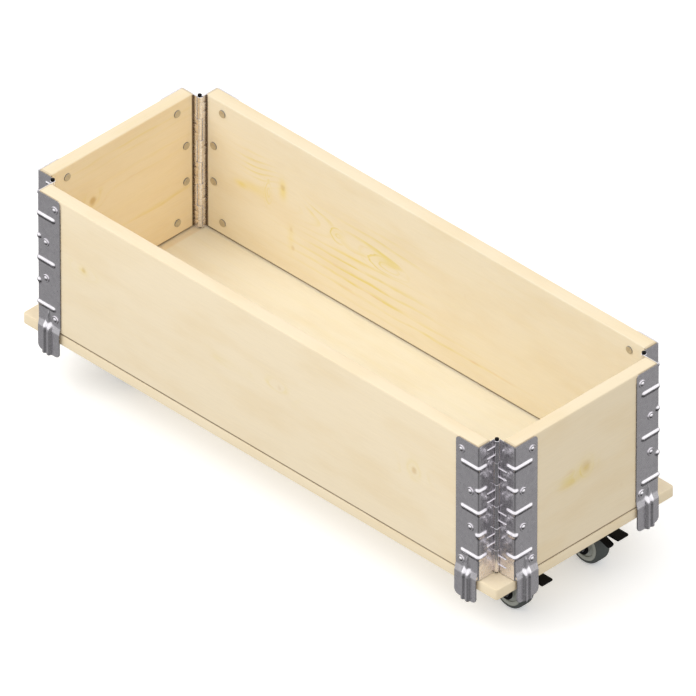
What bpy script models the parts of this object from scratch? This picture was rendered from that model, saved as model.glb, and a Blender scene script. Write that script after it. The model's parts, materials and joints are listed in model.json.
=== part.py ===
"""A folding wooden collar that stands on a board with four swivel castors.

Frame: metres, +Z up, +X along the long side. The origin is on the floor, under
the middle of the base board. The four boards of the collar are joined at their
corners by pairs of pressed steel hinge leaves, each pair on its own pin.
Beside a corner, "along" is measured from the corner's outer edge along a board,
and "inward" is measured from the board's outer face into the box.
"""

import math

import bmesh
import bpy
from mathutils import Matrix, Vector

MM = 0.001
GAP = 0.3 * MM

# Collar and base board
COLLAR_LENGTH = 800 * MM
COLLAR_WIDTH = 300 * MM
COLLAR_HEIGHT = 195 * MM
BOARD_THICKNESS = 19 * MM
BOARD_ARRIS = 1.5 * MM
CORNER_NOTCH = 30 * MM
BASE_THICKNESS = 15 * MM
BASE_CORNER_RADIUS = 4 * MM
BASE_ARRIS = 1 * MM
COLLAR_SEAT_GAP = 0.5 * MM

# Hinge leaves and pins
SHEET = 1.5 * MM
HINGE_INSET = 26.3 * MM
BARREL_RADIUS = 3.7 * MM
BARREL_BORE_RADIUS = 2.2 * MM
PIN_RADIUS = 2.0 * MM
PIN_HEAD_RADIUS = 3.1 * MM
PIN_HEAD_THICKNESS = 1.2 * MM
KNUCKLE_COUNT = 6
KNUCKLE_GAP = 0.3 * MM
FLANGE_LENGTH = 38 * MM
FLANGE_CORNER_RADIUS = 5 * MM
RIB_HEIGHT = 1.8 * MM
RIB_WIDTH = 6 * MM
LONG_RIB = 30 * MM
SHORT_RIB = 6 * MM
END_RIB = 14 * MM
SKIRT_OFFSET = 2.5 * MM
SKIRT_BAND = 10 * MM
SKIRT_DROP = 34 * MM
SKIRT_CORNER_RADIUS = 7 * MM

# Castors: the wheel's axle trails the swivel axis
CASTOR_X = 324 * MM
CASTOR_Y = 64 * MM
CASTOR_HEIGHT = 77 * MM
CASTOR_TRAIL = 20 * MM
PIN_PLAY = 0.4 * MM
WHEEL_RADIUS = 25 * MM
WHEEL_WIDTH = 22 * MM
HUB_RADIUS = 17 * MM
AXLE_RADIUS = 3 * MM
BUSH_RADIUS = 4.8 * MM
PLATE_HALF_X = 31 * MM
PLATE_HALF_Y = 28 * MM
PLATE_CORNER_RADIUS = 6 * MM
PLATE_THICKNESS = 2.5 * MM
SCREW_X = 23 * MM
SCREW_Y = 20 * MM
SCREW_HOLE_RADIUS = 2.8 * MM
DISH_INNER = 7 * MM
DISH_FLAT = 13 * MM
DISH_OUTER = 17 * MM
KING_PIN_RADIUS = 5 * MM
KING_PIN_HEAD_RADIUS = 8 * MM
KING_PIN_HEAD_HEIGHT = 3 * MM
RACE_INNER = 8 * MM
RACE_OUTER = 17 * MM
RACE_TOP = -5.8 * MM
CROWN_RADIUS = 19 * MM
CROWN_TOP = -8.6 * MM
CROWN_THICKNESS = 2.5 * MM
FORK_INNER_HALF = 12.3 * MM
FORK_SHEET = 2.2 * MM
ARM_FRONT = -12 * MM
ARM_BACK = 22 * MM
ARM_BOSS_RADIUS = 10.5 * MM
HEX_RADIUS = 5.5 * MM
HEX_REACH = 4 * MM
HUB_BOSS_RADIUS = 8 * MM
HUB_RIM_RADIUS = 13 * MM
HUB_RIM_HALF = 9.5 * MM
HUB_WEB_HALF = 4 * MM
TYRE_SHOULDER = 3.5 * MM
PEDAL_PIVOT_X = 12 * MM
PEDAL_PIVOT_Z = -18.5 * MM
PEDAL_PIN_RADIUS = 2 * MM
PEDAL_REACH = 70 * MM
PEDAL_HALF_WIDTH = 15.5 * MM
PEDAL_TOP = -22.5 * MM
PEDAL_THICKNESS = 2.5 * MM
PEDAL_SPLIT = -3 * MM
PEDAL_SLOT = 2 * MM
PEDAL_FLARE = 31 * MM
PEDAL_SHOULDER = 36 * MM
TOE_CORNER_RADIUS = 1.5 * MM
SHORT_LOBE_REACH = 66 * MM
SHORT_LOBE_FOLD = 50 * MM
SHORT_LOBE_DROP = 6 * MM
EAR_RADIUS = 4 * MM
EAR_SHEET = 2 * MM
SHOE_MIDDLE = 15 * MM
SHOE_HALF_LENGTH = 3 * MM
SHOE_HALF_WIDTH = 8 * MM
SHOE_DEPTH = 0.8 * MM

FINE_SIDES = 16
SIDES = 12
WHEEL_SIDES = 32

BASE_TOP = CASTOR_HEIGHT + BASE_THICKNESS
COLLAR_BOTTOM = BASE_TOP + COLLAR_SEAT_GAP
HINGE_X = COLLAR_LENGTH / 2 - HINGE_INSET
HINGE_Y = COLLAR_WIDTH / 2 - HINGE_INSET
AXLE_Z = WHEEL_RADIUS - CASTOR_HEIGHT


def clear_scene():
    for old in list(bpy.data.objects):
        bpy.data.objects.remove(old, do_unlink=True)


def make_material(name, colour, roughness, metallic=0.0):
    material = bpy.data.materials.new(name)
    material.use_nodes = True
    shader = material.node_tree.nodes["Principled BSDF"]
    shader.inputs["Base Color"].default_value = (*colour, 1.0)
    shader.inputs["Roughness"].default_value = roughness
    shader.inputs["Metallic"].default_value = metallic
    return material


def place(name, mesh, material, location=(0, 0, 0), turn=0.0, parent=None):
    """Put a mesh in the scene as one named part, turned about Z."""
    part = bpy.data.objects.new(name, mesh)
    bpy.context.collection.objects.link(part)
    if not mesh.materials:
        mesh.materials.append(material)
    part.location = location
    part.rotation_euler = (0, 0, turn)
    part.parent = parent
    return part


def make_pivot(name, location, parent=None):
    pivot = bpy.data.objects.new(name, None)
    bpy.context.collection.objects.link(pivot)
    pivot.location = location
    pivot.parent = parent
    return pivot


def arc(centre, radius, start, end, count):
    """Points on an arc, both ends included, angles in degrees."""
    step = (end - start) / (count - 1)
    angles = [math.radians(start + i * step) for i in range(count)]
    return [
        (centre[0] + radius * math.cos(a), centre[1] + radius * math.sin(a))
        for a in angles
    ]


def rounded_rectangle(x0, x1, y0, y1, radius, count=5):
    return (
        arc((x1 - radius, y1 - radius), radius, 0, 90, count)
        + arc((x0 + radius, y1 - radius), radius, 90, 180, count)
        + arc((x0 + radius, y0 + radius), radius, 180, 270, count)
        + arc((x1 - radius, y0 + radius), radius, 270, 360, count)
    )


def finish(shape, name):
    """Turn a bmesh into a mesh with its faces pointing out."""
    bmesh.ops.recalc_face_normals(shape, faces=shape.faces)
    mesh = bpy.data.meshes.new(name)
    shape.to_mesh(mesh)
    shape.free()
    mesh.shade_smooth()
    mesh.set_sharp_from_angle(angle=math.radians(30))
    return mesh


def prism(outline, low, high, plane="XY", name="prism"):
    """Extrude an outline: XY rises along Z, XZ runs along Y, YZ runs along X."""
    lift = {
        "XY": lambda u, v, w: (u, v, w),
        "XZ": lambda u, v, w: (u, w, v),
        "YZ": lambda u, v, w: (w, u, v),
    }[plane]
    shape = bmesh.new()
    rings = [[shape.verts.new(lift(u, v, w)) for u, v in outline] for w in (low, high)]
    shape.faces.new(rings[0])
    shape.faces.new(rings[1])
    count = len(outline)
    for i in range(count):
        j = (i + 1) % count
        shape.faces.new((rings[0][i], rings[0][j], rings[1][j], rings[1][i]))
    return finish(shape, name)


def turned(profile, sides, axis="Z", name="turned"):
    """Turn a closed profile of (radius, height) points about an axis."""
    lay = {"Z": lambda x, y, z: (x, y, z), "Y": lambda x, y, z: (x, z, y)}[axis]
    shape = bmesh.new()
    rings = []
    for radius, height in profile:
        if radius < 1e-9:
            rings.append([shape.verts.new(lay(0, 0, height))] * sides)
            continue
        turns = [2 * math.pi * i / sides for i in range(sides)]
        ring = [(radius * math.cos(a), radius * math.sin(a)) for a in turns]
        rings.append([shape.verts.new(lay(x, y, height)) for x, y in ring])
    for low, high in zip(rings, rings[1:] + rings[:1]):
        for i in range(sides):
            j = (i + 1) % sides
            corners = []
            for vert in (low[i], low[j], high[j], high[i]):
                if vert not in corners:
                    corners.append(vert)
            if len(corners) > 2:
                shape.faces.new(corners)
    return finish(shape, name)


def rod(radius, low, high, sides=SIDES, axis="Z"):
    return turned([(0, low), (radius, low), (radius, high), (0, high)], sides, axis)


def ring(inner, outer, low, high, sides=SIDES, axis="Z"):
    profile = [(inner, low), (outer, low), (outer, high), (inner, high)]
    return turned(profile, sides, axis)


def moved(mesh, offset):
    copy = mesh.copy()
    copy.transform(Matrix.Translation(Vector(offset)))
    return copy


def combine(mesh, tools, operation, name):
    """Union, difference or intersection of a mesh with several tools."""
    body = bpy.data.objects.new(name, mesh)
    bpy.context.collection.objects.link(body)
    helpers = []
    for tool in tools:
        helper = bpy.data.objects.new("tool", tool)
        bpy.context.collection.objects.link(helper)
        helpers.append(helper)
        step = body.modifiers.new(operation, "BOOLEAN")
        step.operation = operation
        step.solver = "EXACT"
        step.object = helper
    depsgraph = bpy.context.evaluated_depsgraph_get()
    result = bpy.data.meshes.new_from_object(body.evaluated_get(depsgraph))
    for helper in helpers + [body]:
        bpy.data.objects.remove(helper, do_unlink=True)
    return result


def union(mesh, tools, name="union"):
    return combine(mesh, tools, "UNION", name)


def cut(mesh, tools, name="cut"):
    return combine(mesh, tools, "DIFFERENCE", name)


# ---------------------------------------------------------------- boards


def board_mesh(length, name):
    """A planed board on its edge: long edges eased, square ends."""
    half_length = length / 2
    half_thickness = BOARD_THICKNESS / 2
    outline = rounded_rectangle(
        -half_thickness, half_thickness, 0, COLLAR_HEIGHT, BOARD_ARRIS, 4
    )
    return prism(outline, -half_length, half_length, "YZ", name)


def base_mesh():
    outline = rounded_rectangle(
        -COLLAR_LENGTH / 2,
        COLLAR_LENGTH / 2,
        -COLLAR_WIDTH / 2,
        COLLAR_WIDTH / 2,
        BASE_CORNER_RADIUS,
    )
    mesh = prism(outline, 0, BASE_THICKNESS, "XY", "base_board")
    shape = bmesh.new()
    shape.from_mesh(mesh)
    rims = [e for e in shape.edges if abs(e.verts[0].co.z - e.verts[1].co.z) < 1e-9]
    bmesh.ops.bevel(
        shape, geom=rims, offset=BASE_ARRIS, segments=2, affect="EDGES", profile=0.5
    )
    return finish(shape, "base_board")


# ---------------------------------------------------------------- hinge leaves


def knuckle_span(index):
    """Bottom and top of a knuckle, counted from the top of the leaf."""
    room = COLLAR_HEIGHT - 2 * (PIN_HEAD_THICKNESS + 2 * GAP)
    pitch = room / KNUCKLE_COUNT
    top = COLLAR_HEIGHT - PIN_HEAD_THICKNESS - 2 * GAP - index * pitch
    return top - pitch + KNUCKLE_GAP / 2, top - KNUCKLE_GAP / 2


def rib_meshes():
    """Stiffening ribs pressed outwards, wrapped over the fold of a leaf."""
    fold_along = CORNER_NOTCH - HINGE_INSET - SHEET
    outer_face = -HINGE_INSET - GAP - SHEET
    ribs = []
    for k in range(1, KNUCKLE_COUNT):
        reach = LONG_RIB if k % 2 == 1 else SHORT_RIB
        height = COLLAR_HEIGHT * k / KNUCKLE_COUNT
        end = fold_along + reach
        foot = outer_face + END_RIB
        crest = RIB_HEIGHT
        outline = [
            (end, outer_face + SHEET / 2),
            (end, outer_face),
            (end - 2 * crest, outer_face - crest),
            (fold_along, outer_face - crest),
            (fold_along - crest, outer_face),
            (fold_along - crest, foot - 2 * crest),
            (fold_along, foot),
            (fold_along + SHEET / 2, foot),
            (fold_along + SHEET / 2, outer_face + SHEET / 2),
        ]
        ribs.append(prism(outline, height - RIB_WIDTH / 2, height + RIB_WIDTH / 2))
    return ribs


def leaf_mesh(knuckles, mirrored, name):
    """One pressed hinge leaf, with its origin on the pin axis.

    The board runs towards +x, or towards -x if mirrored; inward is +y.
    """
    end_along = CORNER_NOTCH - HINGE_INSET
    fold_along = end_along - SHEET
    face_inward = -HINGE_INSET - GAP
    outer_inward = face_inward - SHEET
    flange_end = fold_along + FLANGE_LENGTH
    clear_inward = -BARREL_RADIUS - 0.6 * MM
    fold = [
        (fold_along, outer_inward),
        (flange_end, outer_inward),
        (flange_end, face_inward),
        (end_along, face_inward),
        (end_along, clear_inward),
        (fold_along, clear_inward),
    ]
    end_flange = [
        (fold_along, outer_inward),
        (end_along, outer_inward),
        (end_along, clear_inward),
        (fold_along, clear_inward),
    ]
    tongue = [
        (fold_along, clear_inward - SHEET),
        (end_along, clear_inward - SHEET),
        (end_along, 0),
        (fold_along, 0),
    ]
    pieces = [prism(end_flange, 0, SKIRT_BAND + SHEET)]
    for index in knuckles:
        low, high = knuckle_span(index)
        pieces.append(prism(tongue, low, high))
        pieces.append(rod(BARREL_RADIUS, low, high))
    pieces += rib_meshes() + [skirt_mesh()]
    body = union(prism(fold, SKIRT_BAND, COLLAR_HEIGHT), pieces)
    bore = rod(BARREL_BORE_RADIUS, -MM, COLLAR_HEIGHT + MM)
    mesh = cut(body, [bore, corner_cutter(flange_end)])
    if mirrored:
        mesh.transform(Matrix.Scale(-1, 4, Vector((1, 0, 0))))
        mesh.flip_normals()
    mesh.name = name
    mesh.shade_smooth()
    mesh.set_sharp_from_angle(angle=math.radians(30))
    return mesh


def corner_cutter(flange_end):
    """What is rounded off the outer flange's free top corner."""
    r = FLANGE_CORNER_RADIUS
    centre = (flange_end - r, COLLAR_HEIGHT - r)
    outline = arc(centre, r, 0, 90, 6)
    outline += [(centre[0], COLLAR_HEIGHT + r), (flange_end + r, COLLAR_HEIGHT + r)]
    outline += [(flange_end + r, centre[1])]
    face_inward = -HINGE_INSET - GAP
    return prism(outline, face_inward - 4 * SHEET, face_inward + GAP / 2, "XZ")


def skirt_mesh():
    """The locating foot: the outer flange steps out and hangs past the board."""
    fold_along = CORNER_NOTCH - HINGE_INSET - SHEET
    face = -HINGE_INSET - GAP
    stepped = face - SKIRT_OFFSET
    profile = [
        (face, SKIRT_BAND + SHEET),
        (face, SKIRT_BAND),
        (stepped, 0),
        (stepped, -SKIRT_DROP),
        (stepped - SHEET, -SKIRT_DROP),
        (stepped - SHEET, 0),
        (face - SHEET, SKIRT_BAND),
        (face - SHEET, SKIRT_BAND + SHEET),
    ]
    far = fold_along + FLANGE_LENGTH
    strip = prism(profile, fold_along, far, "YZ")
    r = SKIRT_CORNER_RADIUS
    silhouette = [(fold_along, 2 * SKIRT_BAND), (far, 2 * SKIRT_BAND)]
    silhouette += arc((far - r, r - SKIRT_DROP), r, 0, -90, 6)
    silhouette += arc((fold_along + r, r - SKIRT_DROP), r, -90, -180, 6)
    keep = prism(silhouette, stepped - 2 * SHEET, face + SHEET, "XZ")
    return combine(strip, [keep], "INTERSECT", "skirt")


def pin_mesh():
    """A hinge pin with both ends peened over."""
    low = GAP
    high = COLLAR_HEIGHT - GAP
    neck = PIN_HEAD_THICKNESS
    profile = [
        (0, low),
        (PIN_HEAD_RADIUS, low),
        (PIN_HEAD_RADIUS, low + neck),
        (PIN_RADIUS, low + neck),
        (PIN_RADIUS, high - neck),
        (PIN_HEAD_RADIUS, high - neck),
        (PIN_HEAD_RADIUS, high),
        (0, high),
    ]
    return turned(profile, SIDES, name="hinge_pin")


# ---------------------------------------------------------------- castors


def castor_plate_mesh():
    """Top plate with four screw holes and a dished bearing seat."""
    outline = rounded_rectangle(
        -PLATE_HALF_X, PLATE_HALF_X, -PLATE_HALF_Y, PLATE_HALF_Y, PLATE_CORNER_RADIUS, 4
    )
    low = -GAP - PLATE_THICKNESS
    plate = prism(outline, low, -GAP)
    dish = [
        (DISH_INNER, low + MM),
        (DISH_INNER, RACE_TOP + GAP),
        (DISH_FLAT, RACE_TOP + GAP),
        (DISH_OUTER, low),
        (DISH_OUTER, low + MM),
    ]
    plate = union(plate, [turned(dish, FINE_SIDES)])
    holes = [rod(KING_PIN_RADIUS + PIN_PLAY, -CASTOR_HEIGHT, MM)]
    screw_hole = rod(SCREW_HOLE_RADIUS, -CASTOR_HEIGHT, MM, 8)
    for x in (-SCREW_X, SCREW_X):
        for y in (-SCREW_Y, SCREW_Y):
            holes.append(moved(screw_hole, (x, y, 0)))
    return cut(plate, holes, "castor_plate")


def castor_race_mesh():
    """The ball race between the plate's dish and the fork's crown."""
    low = CROWN_TOP + GAP
    edge = RACE_OUTER - 1.5 * MM
    profile = [
        (RACE_INNER, low),
        (edge, low),
        (RACE_OUTER, low + MM),
        (edge, RACE_TOP),
        (RACE_INNER, RACE_TOP),
    ]
    return turned(profile, FINE_SIDES, name="castor_race")


def king_pin_mesh():
    """The rivet that the fork swivels on, with its head under the crown."""
    top = -2 * GAP
    head_top = CROWN_TOP - CROWN_THICKNESS - GAP
    head_bottom = head_top - KING_PIN_HEAD_HEIGHT
    profile = [
        (0, head_bottom),
        (KING_PIN_HEAD_RADIUS - 2 * MM, head_bottom),
        (KING_PIN_HEAD_RADIUS, head_bottom + 1.5 * MM),
        (KING_PIN_HEAD_RADIUS, head_top),
        (KING_PIN_RADIUS, head_top),
        (KING_PIN_RADIUS, top),
        (0, top),
    ]
    return turned(profile, SIDES, name="castor_king_pin")


def fork_arm_outline():
    """One arm seen from the side: wide under the crown, round at the axle."""
    top = CROWN_TOP - CROWN_THICKNESS / 2
    points = [(ARM_FRONT, top), (ARM_FRONT, top - 6 * MM)]
    points += arc((CASTOR_TRAIL, AXLE_Z), ARM_BOSS_RADIUS, -160, 0, 9)
    points += [(ARM_BACK, -24 * MM), (ARM_BACK, top)]
    return points


def castor_fork_mesh():
    """A pressed fork: a round crown and two arms that trail back to the axle."""
    outer = FORK_INNER_HALF + FORK_SHEET
    reach = math.degrees(math.asin(outer / CROWN_RADIUS))
    crown = arc((0, 0), CROWN_RADIUS, reach, 360 - reach, 17)
    crown += [(ARM_BACK, -outer), (ARM_BACK, outer)]
    mesh = prism(crown, CROWN_TOP - CROWN_THICKNESS, CROWN_TOP)
    arm = fork_arm_outline()
    arms = [
        prism(arm, FORK_INNER_HALF, outer, "XZ"),
        prism(arm, -outer, -FORK_INNER_HALF, "XZ"),
    ]
    mesh = union(mesh, arms)
    past = 2 * outer
    axle_hole = rod(AXLE_RADIUS + PIN_PLAY, -past, past, SIDES, "Y")
    pedal_hole = rod(PEDAL_PIN_RADIUS + PIN_PLAY, -past, past, SIDES, "Y")
    holes = [
        rod(KING_PIN_RADIUS + PIN_PLAY, -CASTOR_HEIGHT, MM),
        moved(axle_hole, (CASTOR_TRAIL, 0, AXLE_Z)),
        moved(pedal_hole, (PEDAL_PIVOT_X, 0, PEDAL_PIVOT_Z)),
    ]
    return cut(mesh, holes, "castor_fork")


def axle_mesh():
    """An axle bolt with a six-sided head at its -Y end."""
    outer = FORK_INNER_HALF + FORK_SHEET
    shaft = rod(AXLE_RADIUS, -outer - MM, outer + HEX_REACH + MM, SIDES, "Y")
    head = rod(HEX_RADIUS, -outer - HEX_REACH, -outer - GAP, 6, "Y")
    return union(shaft, [head], "castor_axle")


def nut_mesh():
    outer = FORK_INNER_HALF + FORK_SHEET
    body = rod(HEX_RADIUS, outer + GAP, outer + HEX_REACH, 6, "Y")
    hole = rod(AXLE_RADIUS + GAP, outer - MM, outer + 2 * HEX_REACH, SIDES, "Y")
    return cut(body, [hole], "castor_nut")


def bush_mesh():
    half = FORK_INNER_HALF - GAP
    return ring(AXLE_RADIUS + GAP, BUSH_RADIUS, -half, half, SIDES, "Y")


def hub_mesh():
    """Wheel centre: a long boss, a thin web and a rim."""
    bore = BUSH_RADIUS + GAP
    boss_half = WHEEL_WIDTH / 2
    profile = [
        (bore, -boss_half),
        (HUB_BOSS_RADIUS, -boss_half),
        (HUB_BOSS_RADIUS, -HUB_WEB_HALF),
        (HUB_RIM_RADIUS, -HUB_WEB_HALF),
        (HUB_RIM_RADIUS, -HUB_RIM_HALF),
        (HUB_RADIUS, -HUB_RIM_HALF),
        (HUB_RADIUS, HUB_RIM_HALF),
        (HUB_RIM_RADIUS, HUB_RIM_HALF),
        (HUB_RIM_RADIUS, HUB_WEB_HALF),
        (HUB_BOSS_RADIUS, HUB_WEB_HALF),
        (HUB_BOSS_RADIUS, boss_half),
        (bore, boss_half),
    ]
    return turned(profile, FINE_SIDES, "Y", "wheel_hub")


def tyre_mesh():
    half = WHEEL_WIDTH / 2
    inner = HUB_RADIUS + GAP
    r = TYRE_SHOULDER
    rim = WHEEL_RADIUS - r
    upper = arc((rim, half - r), r, 0, 90, 4)
    lower = arc((rim, r - half), r, -90, 0, 4)
    profile = lower + upper + [(inner, half), (inner, -half)]
    return turned(profile, WHEEL_SIDES, "Y", "wheel_tyre")


def pedal_mesh():
    """A foot pedal: two ears on the pivot, a long flat toe lobe, a short lobe that
    slopes down beside it, and a low shoe under it that bears on the tyre."""
    half = PEDAL_HALF_WIDTH
    ear_half = FORK_INNER_HALF - 2 * GAP
    low = PEDAL_TOP - PEDAL_THICKNESS
    root = PEDAL_PIVOT_X - EAR_RADIUS / 2
    fold = SHORT_LOBE_FOLD
    short_side = PEDAL_SPLIT - PEDAL_SLOT
    r = TOE_CORNER_RADIUS
    end = PEDAL_REACH - r
    outline = [(root, -ear_half), (PEDAL_FLARE, -ear_half), (PEDAL_SHOULDER, -half)]
    outline += [(fold, -half), (fold, short_side), (fold + PEDAL_SLOT, PEDAL_SPLIT)]
    outline += arc((end, PEDAL_SPLIT + r), r, -90, 0, 3)
    outline += arc((end, half - r), r, 0, 90, 3)
    outline += [(PEDAL_SHOULDER, half), (PEDAL_FLARE, ear_half), (root, ear_half)]
    plate = prism(outline, low, PEDAL_TOP)
    lobe_root = fold - 2 * MM
    sloping = [
        (lobe_root, low),
        (SHORT_LOBE_REACH, low - SHORT_LOBE_DROP),
        (SHORT_LOBE_REACH, PEDAL_TOP - SHORT_LOBE_DROP),
        (lobe_root, PEDAL_TOP),
    ]
    short_lobe = prism(sloping, -half, short_side, "XZ")
    ear = arc((PEDAL_PIVOT_X, PEDAL_PIVOT_Z), EAR_RADIUS, 0, 180, 7)
    ear += [(PEDAL_PIVOT_X - EAR_RADIUS, low), (PEDAL_PIVOT_X + 2 * EAR_RADIUS, low)]
    ears = [
        prism(ear, ear_half - EAR_SHEET, ear_half, "XZ"),
        prism(ear, -ear_half, EAR_SHEET - ear_half, "XZ"),
    ]
    foot = low - SHOE_DEPTH
    shoe_outline = [
        (SHOE_MIDDLE - SHOE_HALF_LENGTH, low + MM),
        (SHOE_MIDDLE - SHOE_HALF_LENGTH, foot),
        (SHOE_MIDDLE + SHOE_HALF_LENGTH, foot),
        (SHOE_MIDDLE + SHOE_HALF_LENGTH, low + MM),
    ]
    shoe = prism(shoe_outline, -SHOE_HALF_WIDTH, SHOE_HALF_WIDTH, "XZ")
    mesh = union(plate, ears + [shoe, short_lobe])
    hole = rod(PEDAL_PIN_RADIUS + GAP, -2 * ear_half, 2 * ear_half, SIDES, "Y")
    mesh = cut(mesh, [moved(hole, (PEDAL_PIVOT_X, 0, PEDAL_PIVOT_Z))], "brake_pedal")
    mesh.transform(Matrix.Translation((-PEDAL_PIVOT_X, 0, -PEDAL_PIVOT_Z)))
    return mesh


def pedal_pin_mesh():
    """The pedal's pivot, with a head outside each fork arm."""
    outer = FORK_INNER_HALF + FORK_SHEET + GAP
    end = outer + 1.5 * MM
    head = PEDAL_PIN_RADIUS + 1.2 * MM
    profile = [
        (0, -end),
        (head, -end),
        (head, -outer),
        (PEDAL_PIN_RADIUS, -outer),
        (PEDAL_PIN_RADIUS, outer),
        (head, outer),
        (head, end),
        (0, end),
    ]
    return turned(profile, SIDES, "Y", "pedal_pin")


# ---------------------------------------------------------------- assembly


def build_collar(wood, zinc, pin_steel):
    """Four boards, each with two leaves, on pivots at the hinge pins."""
    collar = make_pivot("collar_pivot", (0, 0, COLLAR_BOTTOM))
    right_front = make_pivot("right_front_pivot", (HINGE_X, -HINGE_Y, 0), collar)
    right_back = make_pivot("right_back_pivot", (0, 2 * HINGE_Y, 0), right_front)
    left_front = make_pivot("left_front_pivot", (-HINGE_X, -HINGE_Y, 0), collar)
    holders = {
        "front": (collar, Vector((0, 0, 0))),
        "right": (right_front, Vector((HINGE_X, -HINGE_Y, 0))),
        "back": (right_back, Vector((HINGE_X, HINGE_Y, 0))),
        "left": (left_front, Vector((-HINGE_X, -HINGE_Y, 0))),
    }
    end_gap = 2 * (CORNER_NOTCH + GAP)
    long_board = board_mesh(COLLAR_LENGTH - end_gap, "long_board")
    short_board = board_mesh(COLLAR_WIDTH - end_gap, "short_board")
    leaf_a = leaf_mesh((0, 2, 4), True, "leaf_a")
    leaf_b = leaf_mesh((1, 3, 5), False, "leaf_b")
    pin = pin_mesh()
    half_thickness = BOARD_THICKNESS / 2
    sides = ("front", "right", "back", "left")
    corners = (
        Vector((HINGE_X, -HINGE_Y, 0)),
        Vector((HINGE_X, HINGE_Y, 0)),
        Vector((-HINGE_X, HINGE_Y, 0)),
        Vector((-HINGE_X, -HINGE_Y, 0)),
    )
    middles = (
        Vector((0, -COLLAR_WIDTH / 2 + half_thickness, 0)),
        Vector((COLLAR_LENGTH / 2 - half_thickness, 0, 0)),
        Vector((0, COLLAR_WIDTH / 2 - half_thickness, 0)),
        Vector((-COLLAR_LENGTH / 2 + half_thickness, 0, 0)),
    )
    pin_holders = ("front", "right", "back", "front")
    pin_names = ("right_front", "right_back", "left_back", "left_front")
    for k, side in enumerate(sides):
        holder, origin = holders[side]
        turn = k * math.pi / 2
        board = long_board if side in ("front", "back") else short_board
        place(f"{side}_board", board, wood, middles[k] - origin, turn, holder)
        end_corner = corners[k] - origin
        start_corner = corners[k - 1] - origin
        place(f"{side}_leaf_end", leaf_a, zinc, end_corner, turn, holder)
        place(f"{side}_leaf_start", leaf_b, zinc, start_corner, turn, holder)
    for name, side, corner in zip(pin_names, pin_holders, corners):
        holder, origin = holders[side]
        place(f"hinge_pin_{name}", pin, pin_steel, corner - origin, 0, holder)


def build_castors(metal, black, hub_plastic, rubber, bush_plastic):
    """Four trailing castors; the two at +X carry brake pedals."""
    meshes = {
        "plate": (castor_plate_mesh(), metal),
        "king_pin": (king_pin_mesh(), metal),
    }
    swivelling = {
        "race": (castor_race_mesh(), metal),
        "fork": (castor_fork_mesh(), black),
        "axle": (axle_mesh(), metal),
        "nut": (nut_mesh(), metal),
        "bush": (bush_mesh(), bush_plastic),
    }
    rolling = {
        "hub": (hub_mesh(), hub_plastic),
        "tyre": (tyre_mesh(), rubber),
    }
    pedal = pedal_mesh()
    pedal_pin = pedal_pin_mesh()
    spots = {
        "right_front": (CASTOR_X, -CASTOR_Y),
        "right_back": (CASTOR_X, CASTOR_Y),
        "left_front": (-CASTOR_X, -CASTOR_Y),
        "left_back": (-CASTOR_X, CASTOR_Y),
    }
    for where, (x, y) in spots.items():
        swivel = make_pivot(f"{where}_swivel", (x, y, CASTOR_HEIGHT))
        axle = make_pivot(f"{where}_axle_pivot", (CASTOR_TRAIL, 0, AXLE_Z), swivel)
        for kind, (mesh, material) in meshes.items():
            place(f"castor_{kind}_{where}", mesh, material, (x, y, CASTOR_HEIGHT))
        for kind, (mesh, material) in swivelling.items():
            on_axle = kind in ("axle", "nut", "bush")
            spot = (CASTOR_TRAIL, 0, AXLE_Z) if on_axle else (0, 0, 0)
            place(f"castor_{kind}_{where}", mesh, material, spot, 0, swivel)
        for kind, (mesh, material) in rolling.items():
            place(f"wheel_{kind}_{where}", mesh, material, (0, 0, 0), 0, axle)
        if x > 0:
            spot = (PEDAL_PIVOT_X, 0, PEDAL_PIVOT_Z)
            place(f"brake_pedal_{where}", pedal, black, spot, 0, swivel)
            place(f"brake_pin_{where}", pedal_pin, metal, spot, 0, swivel)


def main():
    clear_scene()
    collar_pine = make_material("collar_pine", (0.80, 0.66, 0.45), 0.6)
    base_pine = make_material("base_pine", (0.84, 0.71, 0.50), 0.6)
    zinc = make_material("galvanised_steel", (0.42, 0.43, 0.44), 0.35, 1.0)
    pin_steel = make_material("pin_steel", (0.08, 0.08, 0.08), 0.4, 1.0)
    metal = make_material("bright_zinc", (0.55, 0.55, 0.52), 0.3, 1.0)
    black = make_material("black_steel", (0.012, 0.012, 0.015), 0.35, 0.3)
    hub_plastic = make_material("hub_plastic", (0.25, 0.25, 0.22), 0.5)
    rubber = make_material("grey_rubber", (0.09, 0.10, 0.095), 0.6)
    bush_plastic = make_material("bush_plastic", (0.65, 0.62, 0.52), 0.5)
    place("base_board", base_mesh(), base_pine, (0, 0, CASTOR_HEIGHT))
    build_collar(collar_pine, zinc, pin_steel)
    build_castors(metal, black, hub_plastic, rubber, bush_plastic)
    bpy.context.view_layer.update()


main()
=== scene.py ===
"""Looks of the hinged collar box on castors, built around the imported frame.

Shapes are worked out in millimetres, and new_mesh, plate, moved and at turn them
into the frame's metres. +Z is up. Each piece is made in the row frame at rest, so
a material's object coordinates are the part's own coordinates.
"""

import json
import math

import bmesh
import bpy
from mathutils import Matrix, Vector, noise


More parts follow.
